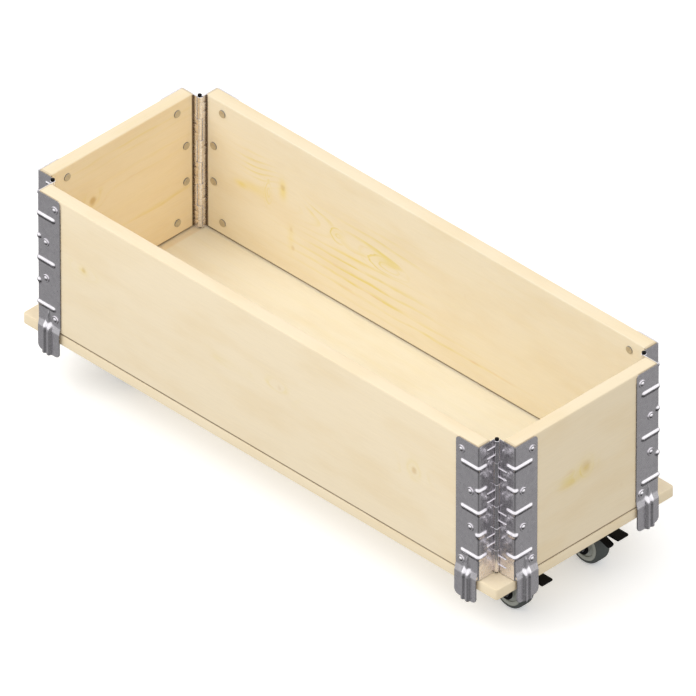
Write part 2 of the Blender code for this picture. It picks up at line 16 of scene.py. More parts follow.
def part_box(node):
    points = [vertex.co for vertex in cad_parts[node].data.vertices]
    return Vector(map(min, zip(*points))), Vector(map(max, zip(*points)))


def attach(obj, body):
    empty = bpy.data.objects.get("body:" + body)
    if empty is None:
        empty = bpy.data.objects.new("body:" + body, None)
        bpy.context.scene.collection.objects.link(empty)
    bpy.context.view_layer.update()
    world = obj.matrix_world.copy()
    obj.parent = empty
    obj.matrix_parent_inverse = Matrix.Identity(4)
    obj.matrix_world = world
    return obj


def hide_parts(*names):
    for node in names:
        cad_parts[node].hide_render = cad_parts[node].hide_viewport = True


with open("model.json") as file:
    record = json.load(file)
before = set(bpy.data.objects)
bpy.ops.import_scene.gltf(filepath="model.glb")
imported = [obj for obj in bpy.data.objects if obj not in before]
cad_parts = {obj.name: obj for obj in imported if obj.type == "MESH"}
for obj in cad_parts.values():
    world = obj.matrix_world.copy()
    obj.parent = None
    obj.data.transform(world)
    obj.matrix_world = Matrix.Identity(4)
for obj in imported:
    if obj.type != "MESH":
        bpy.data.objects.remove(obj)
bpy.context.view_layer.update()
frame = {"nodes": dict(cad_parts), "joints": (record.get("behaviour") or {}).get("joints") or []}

MM = 0.001
PER_METRE = 1000
JOINTS = {joint["name"]: joint for joint in frame["joints"]}
SIDES = ("front", "right", "back", "left")
CORNERS = ("left_front", "left_back", "right_front", "right_back")


def pivot(joint):
    return Vector(JOINTS[joint]["pos_m"]) / MM


# Sizes read from the frame
front_low, front_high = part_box("front_board")
_, right_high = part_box("right_board")
base_low, base_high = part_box("base_board")
COLLAR_BOTTOM = front_low.z / MM
COLLAR_HEIGHT = (front_high.z - front_low.z) / MM
BOARD_THICKNESS = (front_high.y - front_low.y) / MM
HALF_LONG_BOARD = front_high.x / MM
HALF_SHORT_BOARD = right_high.y / MM
HALF_LENGTH = right_high.x / MM
HALF_WIDTH = -front_low.y / MM
HINGE_X, HINGE_Y, _ = pivot("fold_right_back")
HINGE_INSET = HALF_LENGTH - HINGE_X
CASTOR_HEIGHT = base_low.z / MM
SWIVEL_X, SWIVEL_Y, _ = pivot("swivel_right_back")
AXLE_X, _, WHEEL_RADIUS = pivot("spin_right_back")
BRAKE_X, _, BRAKE_Z = pivot("brake_right_back")

QUARTER_TURN = math.pi / 2
TOUCHING = 0.001  # points closer than this count as one
SQUARE = ((1, 1), (-1, 1), (-1, -1), (1, -1))

# Boards
ARRIS_RADIUS = 1.9
FACE_WANDER = 0.12
END_EASE = 0.6
END_ZONE = 8
STATION_SPACING = 12

# Pressed leaves, in a leaf's own frame: origin on the pin, +x along the board
SHEET = 1.5
GAP = 0.3
FOLD_X = 2.2
OUTER_MID_Y = -HINGE_INSET - GAP - SHEET / 2
END_MID_X = FOLD_X + SHEET / 2
BEND_RADIUS = 1.25
BEND_START = END_MID_X + BEND_RADIUS - FOLD_X
FLANGE_LENGTH = 38
TAB_START_Y = -2.10
ROLL_END_DEG = 310
ROLL_MID_RADIUS = 2.65
ROLL_SHEET = 1.1
ROLLED = -1000.0  # in place of the distance from the fold, on the rolled eye
TOP_CORNER_RADIUS = 5
RIB_HEIGHTS = [COLLAR_HEIGHT * k / 6 for k in range(1, 6)]
RIB_HALF_WIDTH = 3.6
RIB_RISE = 1.9
LONG_RIB_END = 30.5
SHORT_RIB_END = 6.5
END_RIB_END = 15
BEAD_OFFSET = 6.3
BEAD_END = -HINGE_INSET - GAP - SHEET + 13.5
BEAD_HALF_WIDTH = 1.3
BEAD_RISE = 0.9
SKIRT_STEP = 2.5
SKIRT_BAND = 10
SKIRT_DROP = 34
SKIRT_RADIUS = 7
FLUTE_CENTRE = 18.2
FLUTE_HALF_WIDTH = 7.2
FLUTE_RISE = 4.0
FLUTE_WALL = 2.2
GROOVE_DEPTH = 2.1
GROOVE_HALF_WIDTH = 2.9
BALL_RISE = 0.9
BALL_RADIUS = 7
NECK_RISE = 1.7
NECK_TOP = 29
LEAF_TOP = COLLAR_HEIGHT - 0.9
KNUCKLES = 6
KNUCKLE_END_ROOM = 1.8
RIVET_SPOTS = ((179, 29), (124.7, 14), (72.3, 14), (18.4, 29))
RIVET_HEAD_RADIUS = 5.3

# Castors, in a castor's own frame: origin on the swivel axis under the base
TRAIL = AXLE_X - SWIVEL_X
AXLE_Z = WHEEL_RADIUS - CASTOR_HEIGHT
PEDAL_X = BRAKE_X - SWIVEL_X
PEDAL_Z = BRAKE_Z - CASTOR_HEIGHT
PLATE = 2.5
SCREW_X, SCREW_Y = 23, 20
RACE_TOP = -5.8
CROWN = 2.5
CROWN_TOP = -8.6
CROWN_RADIUS = 19
FORK_INNER = 12.3
FORK_SHEET = 2.2
FORK_OUTER = FORK_INNER + FORK_SHEET
PEDAL_TOP = -22.5
PEDAL_SHEET = 2.5


# ---- node helpers


class Value:
    """A node's output that can be reckoned with. Each operation adds a node."""

    def __init__(self, nodes, socket):
        self.nodes = nodes
        self.socket = socket

    def math(self, operation, other=0.0, clamp=False):
        settings = {"operation": operation, "use_clamp": clamp}
        return self.nodes.node("ShaderNodeMath", 0, {0: self, 1: other}, **settings)

    def __add__(self, other):
        return self.math("ADD", other)

    def __sub__(self, other):
        return self.math("SUBTRACT", other)

    def __mul__(self, other):
        return self.math("MULTIPLY", other)

    def __truediv__(self, other):
        return self.math("DIVIDE", other)

    def __abs__(self):
        return self.math("ABSOLUTE")

    def most(self, other):
        return self.math("MAXIMUM", other)

    def remap(self, low, high, to_low=0.0, to_high=1.0, smooth=False):
        kind = "SMOOTHSTEP" if smooth else "LINEAR"
        inputs = {"Value": self, "From Min": low, "From Max": high}
        inputs["To Min"] = to_low
        inputs["To Max"] = to_high
        return self.nodes.node("ShaderNodeMapRange", "Result", inputs, interpolation_type=kind)


class Nodes:
    """A node tree, with short calls that add and wire its nodes."""

    def __init__(self, tree):
        self.tree = tree

    def plug(self, socket, value):
        if isinstance(value, Value):
            self.tree.links.new(value.socket, socket)
        elif socket.type == "RGBA":
            socket.default_value = (*value, 1.0)
        else:
            socket.default_value = value

    def node(self, kind, output, inputs=(), **settings):
        made = self.tree.nodes.new(kind)
        for key, value in settings.items():
            setattr(made, key, value)
        for key, value in dict(inputs).items():
            self.plug(made.inputs[key], value)
        return Value(self, made.outputs[output])

    def split(self, vector, kind="XYZ"):
        first = self.node("ShaderNodeSeparate" + kind, 0, {0: vector})
        return [Value(self, socket) for socket in first.socket.node.outputs]

    def join(self, x, y, z):
        return self.node("ShaderNodeCombineXYZ", 0, {0: x, 1: y, 2: z})

    def vector(self, operation, a, b=(0, 0, 0)):
        output = "Value" if operation == "DOT_PRODUCT" else "Vector"
        return self.node("ShaderNodeVectorMath", output, {0: a, 1: b}, operation=operation)

    def noise(self, vector, detail, roughness, scale=1.0, output="Fac"):
        inputs = {"Vector": vector, "Scale": scale}
        inputs["Detail"] = detail
        inputs["Roughness"] = roughness
        return self.node("ShaderNodeTexNoise", output, inputs)

    def voronoi(self, vector, scale, output):
        return self.node("ShaderNodeTexVoronoi", output, {"Vector": vector, "Scale": scale})

    def mix(self, factor, a, b, blend="MIX"):
        inputs = {"Factor": factor, 6: a, 7: b}
        return self.node("ShaderNodeMix", 2, inputs, data_type="RGBA", blend_type=blend)

    def shaded(self, colour, shade):
        return self.mix(1.0, colour, self.join(shade, shade, shade), "MULTIPLY")


class Look(Nodes):
    """A procedural material. place is where a point lies in the part, in metres."""

    def __init__(self, name):
        self.material = bpy.data.materials.new(name)
        self.material.use_nodes = True
        super().__init__(self.material.node_tree)
        self.place = self.node("ShaderNodeTexCoord", "Object")

    def grain(self, scale, detail, roughness):
        inputs = {"Vector": self.place, "Scale": scale}
        return self.noise(self.node("ShaderNodeMapping", 0, inputs), detail, roughness)

    def set(self, values):
        shader = self.tree.nodes["Principled BSDF"]
        for name, value in values.items():
            self.plug(shader.inputs[name], value)
        return self.material

    def finish(self, colour, rough, bump, metal=0.0, shine=0.5, **facing):
        """Wire the shader. bump is a height, its strength and its depth in metres."""
        inputs = dict(zip(("Height", "Strength", "Distance"), bump), **facing)
        values = {"Base Color": colour, "Roughness": rough, "Metallic": metal}
        values["Specular IOR Level"] = shine
        values["Normal"] = self.node("ShaderNodeBump", "Normal", inputs)
        return self.set(values)


# ---- materials

PALE = (0.90, 0.765, 0.545)
WARM = (0.87, 0.715, 0.475)
LATE = (0.83, 0.67, 0.25)
AMBER = (0.76, 0.50, 0.21)
KNOT = (0.58, 0.36, 0.13)
RESIN = (0.86, 0.67, 0.17)
# Dark joints at the board ends; the same colour is painted shade under the hinge leaves and along
# the collar's foot.
DARK_JOINT_AND_SHADE = (0.13, 0.07, 0.025)
# Painted light: the factor that paints the boards' inner faces lighter and less yellow.
INNER_PAINTED_LIGHT = (1.045, 1.105, 1.21)


def oval(along, across, a, b, reach_a, reach_b):
    """The square of the distance from (a, b), in units of an oval's half axes."""
    run = (along - a) / reach_a
    rise = (across - b) / reach_b
    return run * run + rise * rise


def hump(along, across, a, b, reach_a, reach_b, height):
    """A smooth oval bump of the given height round (a, b)."""
    return (oval(along, across, a, b, reach_a, reach_b) * -1.0).math("EXPONENT") * height


def late_line(ring, width):
    """The dark late wood at the end of each yearly ring, width of the ring wide."""
    rise = ring.remap(0.86 - width, 0.84, 0, 1, True)
    fall = ring.remap(0.86, 0.99, 1, 0, True)
    return rise.math("POWER", 1.5) * fall


def wood(name, axes, board, seed):
    """Planed softwood. axes are the part axes along, across and through the board.

    board holds millimetres along and across the face: pith is the tree's centre in
    (across, through), taper how fast the rings close along the board, ring their
    width, line the late wood's share of it and plain how much of it shows away from
    the figure. figure has the ovals (along, across, reach, reach, strength) where
    the rings show, bends the ovals (along, across, reach, reach, push) that the
    rings go round, knots (along, across, radius, strength), eyes the nested loops
    (along, across, reach, reach, rings, strength) and stains the resin (along,
    across, reach, reach, strength). faces are the depths of its outer and its inner
    face, tint the factor that paints the inner face lighter, as painted light, ends
    half the length of a board with dark joints and with painted shade under the
    hinge leaves and along the foot, and floor half the size of the base's deck,
    which is painted lighter in the same way."""
    look = Look(name)
    parts = look.split(look.place)
    along, across, through = (parts[axis] * PER_METRE for axis in axes)
    face = (along, across)

    def streaks(length, width, shift, detail, roughness):
        """Noise drawn out along the board."""
        deep = through / width + (seed + shift)
        return look.noise(look.join(along / length, across / width, deep), detail, roughness)

    side = across - board["pith"][0]
    deep = through - board["pith"][1]
    near_pith = (side * side / -500).math("EXPONENT")
    radius = (side * side + deep * deep).math("SQRT") - along * near_pith * board["taper"]
    for bend in board["bends"]:
        radius += hump(*face, *bend)
    ripple = streaks(48, 13, 7, 2.0, 0.5)
    radius += streaks(260, 60, 0, 3.0, 0.5) * 15
    radius += ripple * 4.5
    late = late_line((radius / board["ring"]).math("FRACT"), board["line"])
    shown = board["plain"]
    for spot in board["figure"]:
        shown = hump(*face, *spot) + shown
    patch = streaks(60, 16, 19, 3.0, 0.6).remap(0.32, 0.60, 0.25, 1.15, True)
    late = late.math("MULTIPLY", patch * shown, clamp=True)
    for a, b, reach_a, reach_b, rings, strength in board.get("eyes", ()):
        away = oval(*face, a, b, reach_a, reach_b).math("SQRT") + ripple * 0.75
        loops = late_line((away * rings).math("FRACT"), 0.45)
        fade = away.remap(1.15, 1.75, strength, 0, True)
        fade *= along.remap(a - reach_a, a + reach_a, 1.1, 0.1, True)
        late = late.most(loops * fade)

    heart = 0.0
    for a, b, size, strength in board["knots"]:
        away = oval(*face, a, b, size, size * 1.2).math("SQRT") + ripple * 1.3
        heart = away.remap(0.9, 1.9, strength, 0, True).most(heart)
    resin = 0.0
    for spot in board.get("stains", ()):
        resin = hump(*face, *spot) + resin
    resin = ripple.remap(0.3, 0.7, 0.6, 1.1).math("MULTIPLY", resin, clamp=True)

    cloud = streaks(120, 40, 31, 3.0, 0.55)
    amber = streaks(45, 9, 37, 2.0, 0.5)
    colour = look.mix(cloud.remap(0.40, 0.72, 0, 0.8, True), PALE, WARM)
    line = look.mix(amber.remap(0.60, 0.72, 0, 1, True), LATE, AMBER)
    colour = look.mix(late, colour, line)
    colour = look.mix(resin, colour, RESIN)
    colour = look.mix(heart, colour, KNOT)
    # Painted light: a lighter copy of the wood's colour on the inner face and on the base's deck.
    painted_lighter_colour = look.mix(1.0, colour, board.get("tint", INNER_PAINTED_LIGHT), "MULTIPLY")
    outer_face, inner_face = board["faces"]
    inward = 1 if inner_face > outer_face else -1
    inner = through.remap(inner_face - inward, inner_face - 0.4 * inward, 0, 1, True)
    for value, half in zip(face, board.get("floor", ())):
        inner *= abs(value).remap(half - 3, half, 1, 0)
    colour = look.mix(inner, colour, painted_lighter_colour)
    # Darker colour at three places: a dark joint in the last few mm of each board end, painted
    # shade on the outer skin under the hinge leaves, and a painted shadow line along the foot,
    # where the collar meets the base. The joint and the shade under the leaves fade at the top
    # edge.
    if "ends" in board:
        from_end = (abs(along) - board["ends"]) * -1
        rim = from_end.remap(1.9, 2.9, 0.88, 0, True)
        # Painted shade on the outer skin under the hinge leaves.
        shade_behind_leaf = from_end.remap(31, 34, 0.75, 0, True)
        skin = through.remap(outer_face + 1.3 * inward, outer_face + 0.5 * inward, 0, 1, True)
        above = across - COLLAR_BOTTOM
        faded = above.remap(COLLAR_HEIGHT - 2, COLLAR_HEIGHT - 0.5, 1, 0.25, True)
        # Painted shadow line along the foot, where the collar meets the base.
        foot = above.remap(1.5, 2.8, 0.9, 0, True)
        colour = look.mix((rim.most(shade_behind_leaf * skin) * faded).most(foot), colour, DARK_JOINT_AND_SHADE)
    fibre = streaks(26, 0.55, 43, 3.0, 0.6)
    pore = streaks(9, 0.32, 57, 1.0, 0.5).remap(0.66, 0.78, 1.0, 0.95, True)
    colour = look.shaded(colour, fibre.remap(0.3, 0.7, 0.965, 1.02) * pore)
    rough = (fibre.remap(0.3, 0.7, 0.50, 0.64) + heart).math("MINIMUM", 0.7)
    height = fibre + late * 0.9 + pore * 0.5
    return look.finish(colour, rough, (height, 0.30, 0.0001), shine=0.3)


def galvanised():
    """Hot-dipped steel. Its crystals lean a few degrees each way and differ in
    gloss, so they show where the surroundings change and vanish where they don't.
    They lean less round the pins and low down, beside the base."""
    look = Look("galvanised_spangle")
    push = look.vector("MULTIPLY", look.noise(look.place, 3.0, 0.5, 330.0, "Color"), (0.0036,) * 3)
    crystal = look.voronoi(look.vector("ADD", look.place, push), 230.0, "Color")
    tone, glint, _ = look.split(crystal, "Color")
    x, y, z = (part * PER_METRE for part in look.split(look.place))
    from_pin = abs(abs(x) - HINGE_X).most(abs(abs(y) - HINGE_Y))
    above_base = z.remap(112, 132, 0.3, 1, True)
    tilt = from_pin.remap(4.2, 6, 0.012, 0.055, True) * above_base
    lean = look.vector("SUBTRACT", crystal, (0.5,) * 3)
    lean = look.vector("MULTIPLY", lean, look.join(tilt, tilt, tilt))
    tilted = look.vector("ADD", look.node("ShaderNodeNewGeometry", "Normal"), lean)
    streak = look.grain((900, 900, 160), 3.0, 0.6)
    colour = look.mix(tone, (0.860, 0.830, 0.872), (0.930, 0.902, 0.938))
    colour = look.shaded(colour, streak.remap(0.3, 0.75, 1.03, 0.93))
    rough = glint.remap(0, 1, 0.17, 0.30) + streak.remap(0, 1, -0.03, 0.06)
    relief = from_pin.remap(4.2, 6, 0.03, 0.2, True) * above_base
    normal = look.vector("NORMALIZE", tilted)
    return look.finish(colour, rough, (streak, relief, 0.00012), 1.0, Normal=normal)


def grained(name, cloud, colours, grain, gloss, relief, metallic):
    """Metal in two clouded colours, with a fine grain in its gloss and relief. cloud
    and grain are a noise's scale, detail and roughness."""
    look = Look(name)
    clouds, fine = (look.grain((scale,) * 3, *shape) for scale, *shape in (cloud, grain))
    rough = fine.remap(0.3, 0.7, *gloss)
    return look.finish(look.mix(clouds, *colours), rough, (fine, *relief), metallic)


def black_coat(name, colour, roughness, metallic):
    """Black coating over pressed steel: fine orange peel and rubbed patches."""
    look = Look(name)
    peel = look.grain((900,) * 3, 2.0, 0.5)
    rub = look.grain((90,) * 3, 4.0, 0.65)
    lighter = tuple(channel * 2.2 + 0.002 for channel in colour)
    colour = look.mix(rub.remap(0.55, 0.75, 0, 1, True), colour, lighter)
    rough = rub.remap(0.3, 0.7, roughness, roughness + 0.14)
    return look.finish(colour, rough, (peel, 0.15, 0.00008), metallic, 0.12)


def rubber():
    """Grey castor rubber with moulding haze and scuffs on the tread."""
    look = Look("grey_castor_rubber")
    haze = look.grain((60,) * 3, 3.0, 0.6)
    grit = look.grain((1300,) * 3, 2.0, 0.6)
    scuff = look.grain((240, 900, 240), 3.0, 0.6)
    colour = look.mix(haze, (0.060, 0.068, 0.064), (0.082, 0.090, 0.084))
    colour = look.mix(scuff.remap(0.6, 0.8, 0, 0.5), colour, (0.13, 0.13, 0.12))
    return look.finish(colour, grit.remap(0.3, 0.7, 0.5, 0.68), (grit, 0.25, 0.0001))


def moulded(name, colour, other):
    """Moulded plastic with a faint swirl and a fine eroded texture."""
    look = Look(name)
    swirl = look.grain((110,) * 3, 3.0, 0.6)
    spark = look.voronoi(look.place, 1500.0, "Distance")
    rough = spark.remap(0, 0.8, 0.38, 0.55)
    return look.finish(look.mix(swirl, colour, other), rough, (spark, 0.12, 0.00008))


LONG_AXES = (0, 2, 1)
SHORT_AXES = (1, 2, 0)
FLAT_AXES = (0, 1, 2)

FRONT_GRAIN = {
    "pith": (196, -112),
    "taper": 0.02,
    "ring": 7.0,
    "line": 0.40,
    "plain": 0.03,
    "faces": (-HALF_WIDTH, BOARD_THICKNESS - HALF_WIDTH),
    "ends": HALF_LONG_BOARD,
    "figure": (
        (26, 203, 34, 7, 0.40), (-74, 190, 40, 9, 0.20), (-296, 205, 18, 8, 0.50),
        (262, 196, 24, 15, 0.42),
    ),
    "bends": ((262, 198, 22, 16, 14), (34, 203, 28, 12, 9), (-295, 206, 16, 9, 7)),
    "knots": ((-295, 207, 3.6, 0.30), (262, 198, 4.6, 0.40), (36, 202, 3.5, 0.15)),
    "stains": ((-295, 206, 8, 7, 0.30), (262, 198, 10, 8, 0.18)),
}
BACK_GRAIN = {
    "pith": (193, 112),
    "taper": -0.10,
    "ring": 12.5,
    "line": 0.42,
    "plain": 0.04,
    "faces": (HALF_WIDTH, HALF_WIDTH - BOARD_THICKNESS),
    "ends": HALF_LONG_BOARD,
    "figure": (
        (-105, 146, 85, 28, 1.15), (-75, 204, 55, 22, 0.85), (20, 124, 110, 7, 0.75),
        (-285, 222, 26, 18, 0.75), (-180, 206, 20, 12, 0.75),
    ),
    "bends": ((-236, 212, 34, 30, -26), (-150, 192, 20, 14, 12)),
    "eyes": (
        (-264, 196, 8, 20, 2.4, 0.85), (-146, 191, 15, 12, 1.5, 1.0), (-62, 187, 42, 13, 2.4, 1.0),
    ),
    "knots": (
        (-240, 214, 4.0, 0.34), (-226, 160, 3.6, 0.22), (-223, 134, 3.2, 0.28),
        (68, 210, 3.0, 0.08),
    ),
    "stains": (
        (-311, 184, 9, 4.5, 0.85), (-292, 189, 15, 6, 0.45), (-240, 212, 6, 13, 0.70),
        (-271, 190, 12, 12, 0.20), (-120, 170, 26, 2.5, 0.55), (-226, 147, 5, 18, 0.30),
    ),
}
RIGHT_GRAIN = {
    "pith": (196, 372),
    "taper": 0.05,
    "ring": 7.0,
    "line": 0.40,
    "plain": 0.03,
    "faces": (HALF_LENGTH, HALF_LENGTH - BOARD_THICKNESS),
    "ends": HALF_SHORT_BOARD,
    "figure": ((-16, 194, 26, 12, 0.55),),
    "bends": ((2, 196, 14, 15, 16),),
    "knots": ((0, 197, 8.5, 0.26), (3, 192, 4.0, 0.20), (60, 140, 3.0, 0.06)),
    "stains": ((-4, 196, 18, 12, 0.42), (-28, 186, 14, 5, 0.40)),
}
LEFT_GRAIN = {
    "pith": (188, -330),
    "taper": 0.04,
    "ring": 9.0,
    "line": 0.40,
    "plain": 0.08,
    "faces": (-HALF_LENGTH, BOARD_THICKNESS - HALF_LENGTH),
    "ends": HALF_SHORT_BOARD,
    # painted light: the inner face is painted a little lighter and warmer
    "tint": (1.06, 1.02, 0.95),
    "figure": (
        (20, 267, 80, 6, 0.70), (60, 226, 60, 7, 0.70), (70, 155, 50, 6, 0.65),
        (-50, 214, 30, 14, 0.50),
    ),
    "bends": ((-50, 214, 20, 14, 16),),
    "knots": ((-50, 215, 6.0, 0.62),),
    "stains": ((-50, 215, 11, 8, 0.30),),
}
BASE_GRAIN = {
    "pith": (20, -130),
    "taper": 0.03,
    "ring": 8.0,
    "line": 0.40,
    "plain": 0.05,
    "faces": (base_low.z / MM, base_high.z / MM),
    "floor": (372, 134),
    # painted light: the deck inside the collar is painted lighter and less yellow
    "tint": (1.03, 1.115, 1.25),
    "figure": ((-60, 30, 140, 24, 0.14), (200, -40, 120, 20, 0.12), (352, 60, 40, 30, 0.15)),
    "bends": ((-120, 35, 24, 14, 10), (150, -48, 22, 12, 8)),
    "knots": ((-120, 35, 4.0, 0.12), (150, -48, 3.6, 0.10)),
}

LOOKS = {
    "front": wood("pine_front", LONG_AXES, FRONT_GRAIN, 3.1),
    "back": wood("pine_back", LONG_AXES, BACK_GRAIN, 12.7),
    "right": wood("pine_right", SHORT_AXES, RIGHT_GRAIN, 25.3),
    "left": wood("pine_left", SHORT_AXES, LEFT_GRAIN, 38.9),
    "base": wood("pine_base", FLAT_AXES, BASE_GRAIN, 51.2),
    "zinc": galvanised(),
    # Sheared leaf edges; on the rivet tails' sides the same dark look is painted shade.
    "cut_edge_and_shade": grained(
        "sheared_edge_and_painted_shade", (1100, 3.0, 0.6), ((0.20, 0.195, 0.20), (0.34, 0.33, 0.34)),
        (1100, 3.0, 0.6), (0.42, 0.60), (0.3, 0.00008), 1.0
    ),
    # Painted reflection: the rivet tails' brown colour stands in for the wood they reflect.
    "tail": grained(
        "rivet_tail_painted_reflection", (420, 3.0, 0.6), ((0.50, 0.41, 0.27), (0.70, 0.60, 0.42)),
        (420, 3.0, 0.6), (0.40, 0.58), (0.25, 0.0001), 0.35
    ),
    "bright": grained(
        "bright_zinc_plate", (120, 2.0, 0.5), ((0.42, 0.42, 0.43), (0.56, 0.55, 0.53)),
        (700, 3.0, 0.6), (0.22, 0.38), (0.12, 0.00006), 1.0
    ),
    "pin": black_coat("dark_pin_oxide", (0.008, 0.008, 0.009), 0.42, 0.5),
    "black": black_coat("black_powder_coat", (0.002, 0.002, 0.0025), 0.42, 0.0),
    "rubber": rubber(),
    "hub": moulded("hub_nylon", (0.30, 0.31, 0.27), (0.36, 0.37, 0.33)),
    "bush": moulded("bush_acetal", (0.55, 0.52, 0.42), (0.64, 0.61, 0.52)),
}


# ---- mesh helpers


def faced_out(mesh, merge=0.0):
    """Points the faces out, after joining the vertices closer than merge."""
    shape = bmesh.new()
    shape.from_mesh(mesh)
    if merge:
        bmesh.ops.remove_doubles(shape, verts=shape.verts, dist=merge)
    bmesh.ops.recalc_face_normals(shape, faces=shape.faces)
    shape.to_mesh(mesh)
    shape.free()
    return mesh


def new_object(name, data):
    made = bpy.data.objects.new(name, data)
    bpy.context.collection.objects.link(made)
    return made


def baked(shown, *helpers):
    """The mesh an object shows. The object and its helpers are deleted."""
    depsgraph = bpy.context.evaluated_depsgraph_get()
    mesh = bpy.data.meshes.new_from_object(shown.evaluated_get(depsgraph))
    for spent in (shown, *helpers):
        bpy.data.objects.remove(spent, do_unlink=True)
    return mesh


def new_mesh(verts, faces, cut=slice(0)):
    """A mesh from millimetres, with its faces pointing out. The faces in cut are
    cut edges, which take a piece's second material."""
    mesh = bpy.data.meshes.new("shape")
    mesh.from_pydata([Vector(spot) * MM for spot in verts], [], faces)
    for face in mesh.polygons[cut]:
        face.material_index = 1
    mesh.validate()
    return faced_out(mesh)


def smooth(mesh, angle=35):
    mesh.shade_smooth()
    mesh.set_sharp_from_angle(angle=math.radians(angle))
    return mesh


def arc(centre, radius, start, end, count):
    step = (end - start) / (count - 1)
    turns = [math.radians(start + step * i) for i in range(count)]
    return [(centre[0] + radius * math.cos(a), centre[1] + radius * math.sin(a)) for a in turns]


def rounded(points, steps=5):
    """A closed outline of (x, y, corner radius), with each corner as an arc."""
    out = []
    count = len(points)
    for i, (x, y, radius) in enumerate(points):
        corner = Vector((x, y))
        if radius <= 0:
            out.append((x, y))
            continue
        before = (Vector(points[i - 1][:2]) - corner).normalized()
        after = (Vector(points[(i + 1) % count][:2]) - corner).normalized()
        half = before.angle(after) / 2
        reach = radius / math.tan(half)
        start = corner + before * reach
        stop = corner + after * reach
        centre = corner + (before + after).normalized() * (radius / math.sin(half))
        a = start - centre
        sweep = a.angle_signed(stop - centre)
        for k in range(steps + 1):
            out.append(tuple(centre + Matrix.Rotation(-sweep * k / steps, 2) @ a))
    return out


def lathe(profile, segments=48, axis="Z"):
    """Turn a closed outline of (radius, height) about an axis."""
    lay = {"Z": lambda x, y, z: (x, y, z), "Y": lambda x, y, z: (x, z, y)}[axis]
    verts, rings, faces = [], [], []
    for radius, height in profile:
        if radius < TOUCHING:
            rings.append([len(verts)] * segments)
            verts.append(lay(0, 0, height))
            continue
        rings.append(list(range(len(verts), len(verts) + segments)))
        for i in range(segments):
            turn = 2 * math.pi * i / segments
            verts.append(lay(radius * math.cos(turn), radius * math.sin(turn), height))
    for low, high in zip(rings, rings[1:] + rings[:1]):
        for i in range(segments):
            j = (i + 1) % segments
            face = list(dict.fromkeys((low[i], low[j], high[j], high[i])))
            if len(face) > 2:
                faces.append(face)
    return smooth(new_mesh(verts, faces))


def plate(outline, holes, thickness, edge, plane="XY"):
    """A flat plate with eased edges and holes, centred on its own plane."""
    curve = bpy.data.curves.new("outline", "CURVE")
    curve.dimensions = "2D"
    curve.fill_mode = "BOTH"
    curve.extrude = (thickness / 2 - edge) * MM
    curve.bevel_depth = edge * MM
    curve.bevel_resolution = 3
    curve.offset = -edge * MM
    for loop in [outline, *holes]:
        spline = curve.splines.new("POLY")
        spline.points.add(len(loop) - 1)
        for point, (x, y) in zip(spline.points, loop):
            point.co = (x * MM, y * MM, 0, 1)
        spline.use_cyclic_u = True
    mesh = baked(new_object("outline", curve))
    if plane == "XZ":
        mesh.transform(Matrix.Rotation(QUARTER_TURN, 4, "X"))
    return smooth(faced_out(mesh, TOUCHING * MM))


def circle(x, y, radius, count=32):
    return arc((x, y), radius, 0, 360 - 360 / count, count)


def at(x, y, z, turn=0.0, axis="Z"):
    """The matrix that turns about an axis and moves by millimetres."""
    return Matrix.Translation(Vector((x, y, z)) * MM) @ Matrix.Rotation(turn, 4, axis)


def moved(mesh, offset):
    copy = mesh.copy()
    copy.transform(at(*offset))
    return copy


def combine(mesh, tools):
    """Join several closed meshes to one."""
    body = new_object("work", mesh)
    helpers = [new_object("tool", tool) for tool in tools]
    for helper in helpers:
        step = body.modifiers.new("join", "BOOLEAN")
        step.operation = "UNION"
        step.solver = "MANIFOLD"
        step.object = helper
    return smooth(baked(body, *helpers))


def piece(name, mesh, look, body, slot, place, stands_for=(), others=()):
    """Link a mesh as a finished piece that rides on a CAD body. others are the looks
    of the faces marked 1 and up."""
    mesh = mesh.copy()
    mesh.transform(place)
    mesh.name = name
    parts = [polygon.material_index for polygon in mesh.polygons]
    mesh.materials.clear()
    for key in (look, *others):
        mesh.materials.append(LOOKS[key])
    if others:
        mesh.polygons.foreach_set("material_index", parts)
    made = new_object(name, mesh)
    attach(made, body)
    if stands_for:
        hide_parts(*stands_for)


# ---- boards


def board_stations(length):
    """Places along a board, closer together at its two ends."""
    half = length / 2
    near = [0.0, 0.25, 0.6, 1.2, 3, END_ZONE]
    inner = spread(END_ZONE - half, half - END_ZONE, STATION_SPACING)[1:-1]
    return [-half + n for n in near] + inner + [half - n for n in reversed(near)]


def board_section(inset, seed, place):
    """A rounded oblong whose faces and corners wander by fractions of a mm."""
    half_width = BOARD_THICKNESS / 2 - inset
    half_height = COLLAR_HEIGHT / 2 - inset
    points = []
    corner_turns = ((1, 1, 0), (-1, 1, 90), (-1, -1, 180), (1, -1, 270))
    for sx, sy, start in corner_turns:
        wear = noise.noise(Vector((place * 0.022, sx * 3.1 + seed, sy * 5.7)))
        r = ARRIS_RADIUS * (1 + 0.30 * wear)
        centre = (sx * (half_width - r), sy * (half_height - r))
        points += arc(centre, r, start, start + 90, 6)
    out = []
    for x, y in points:
        spot = Vector((place * 0.009, x * 0.025 + seed, y * 0.025))
        swell = FACE_WANDER * noise.noise(spot)
        out.append((x + math.copysign(swell, x), y + math.copysign(swell, y)))
    return out


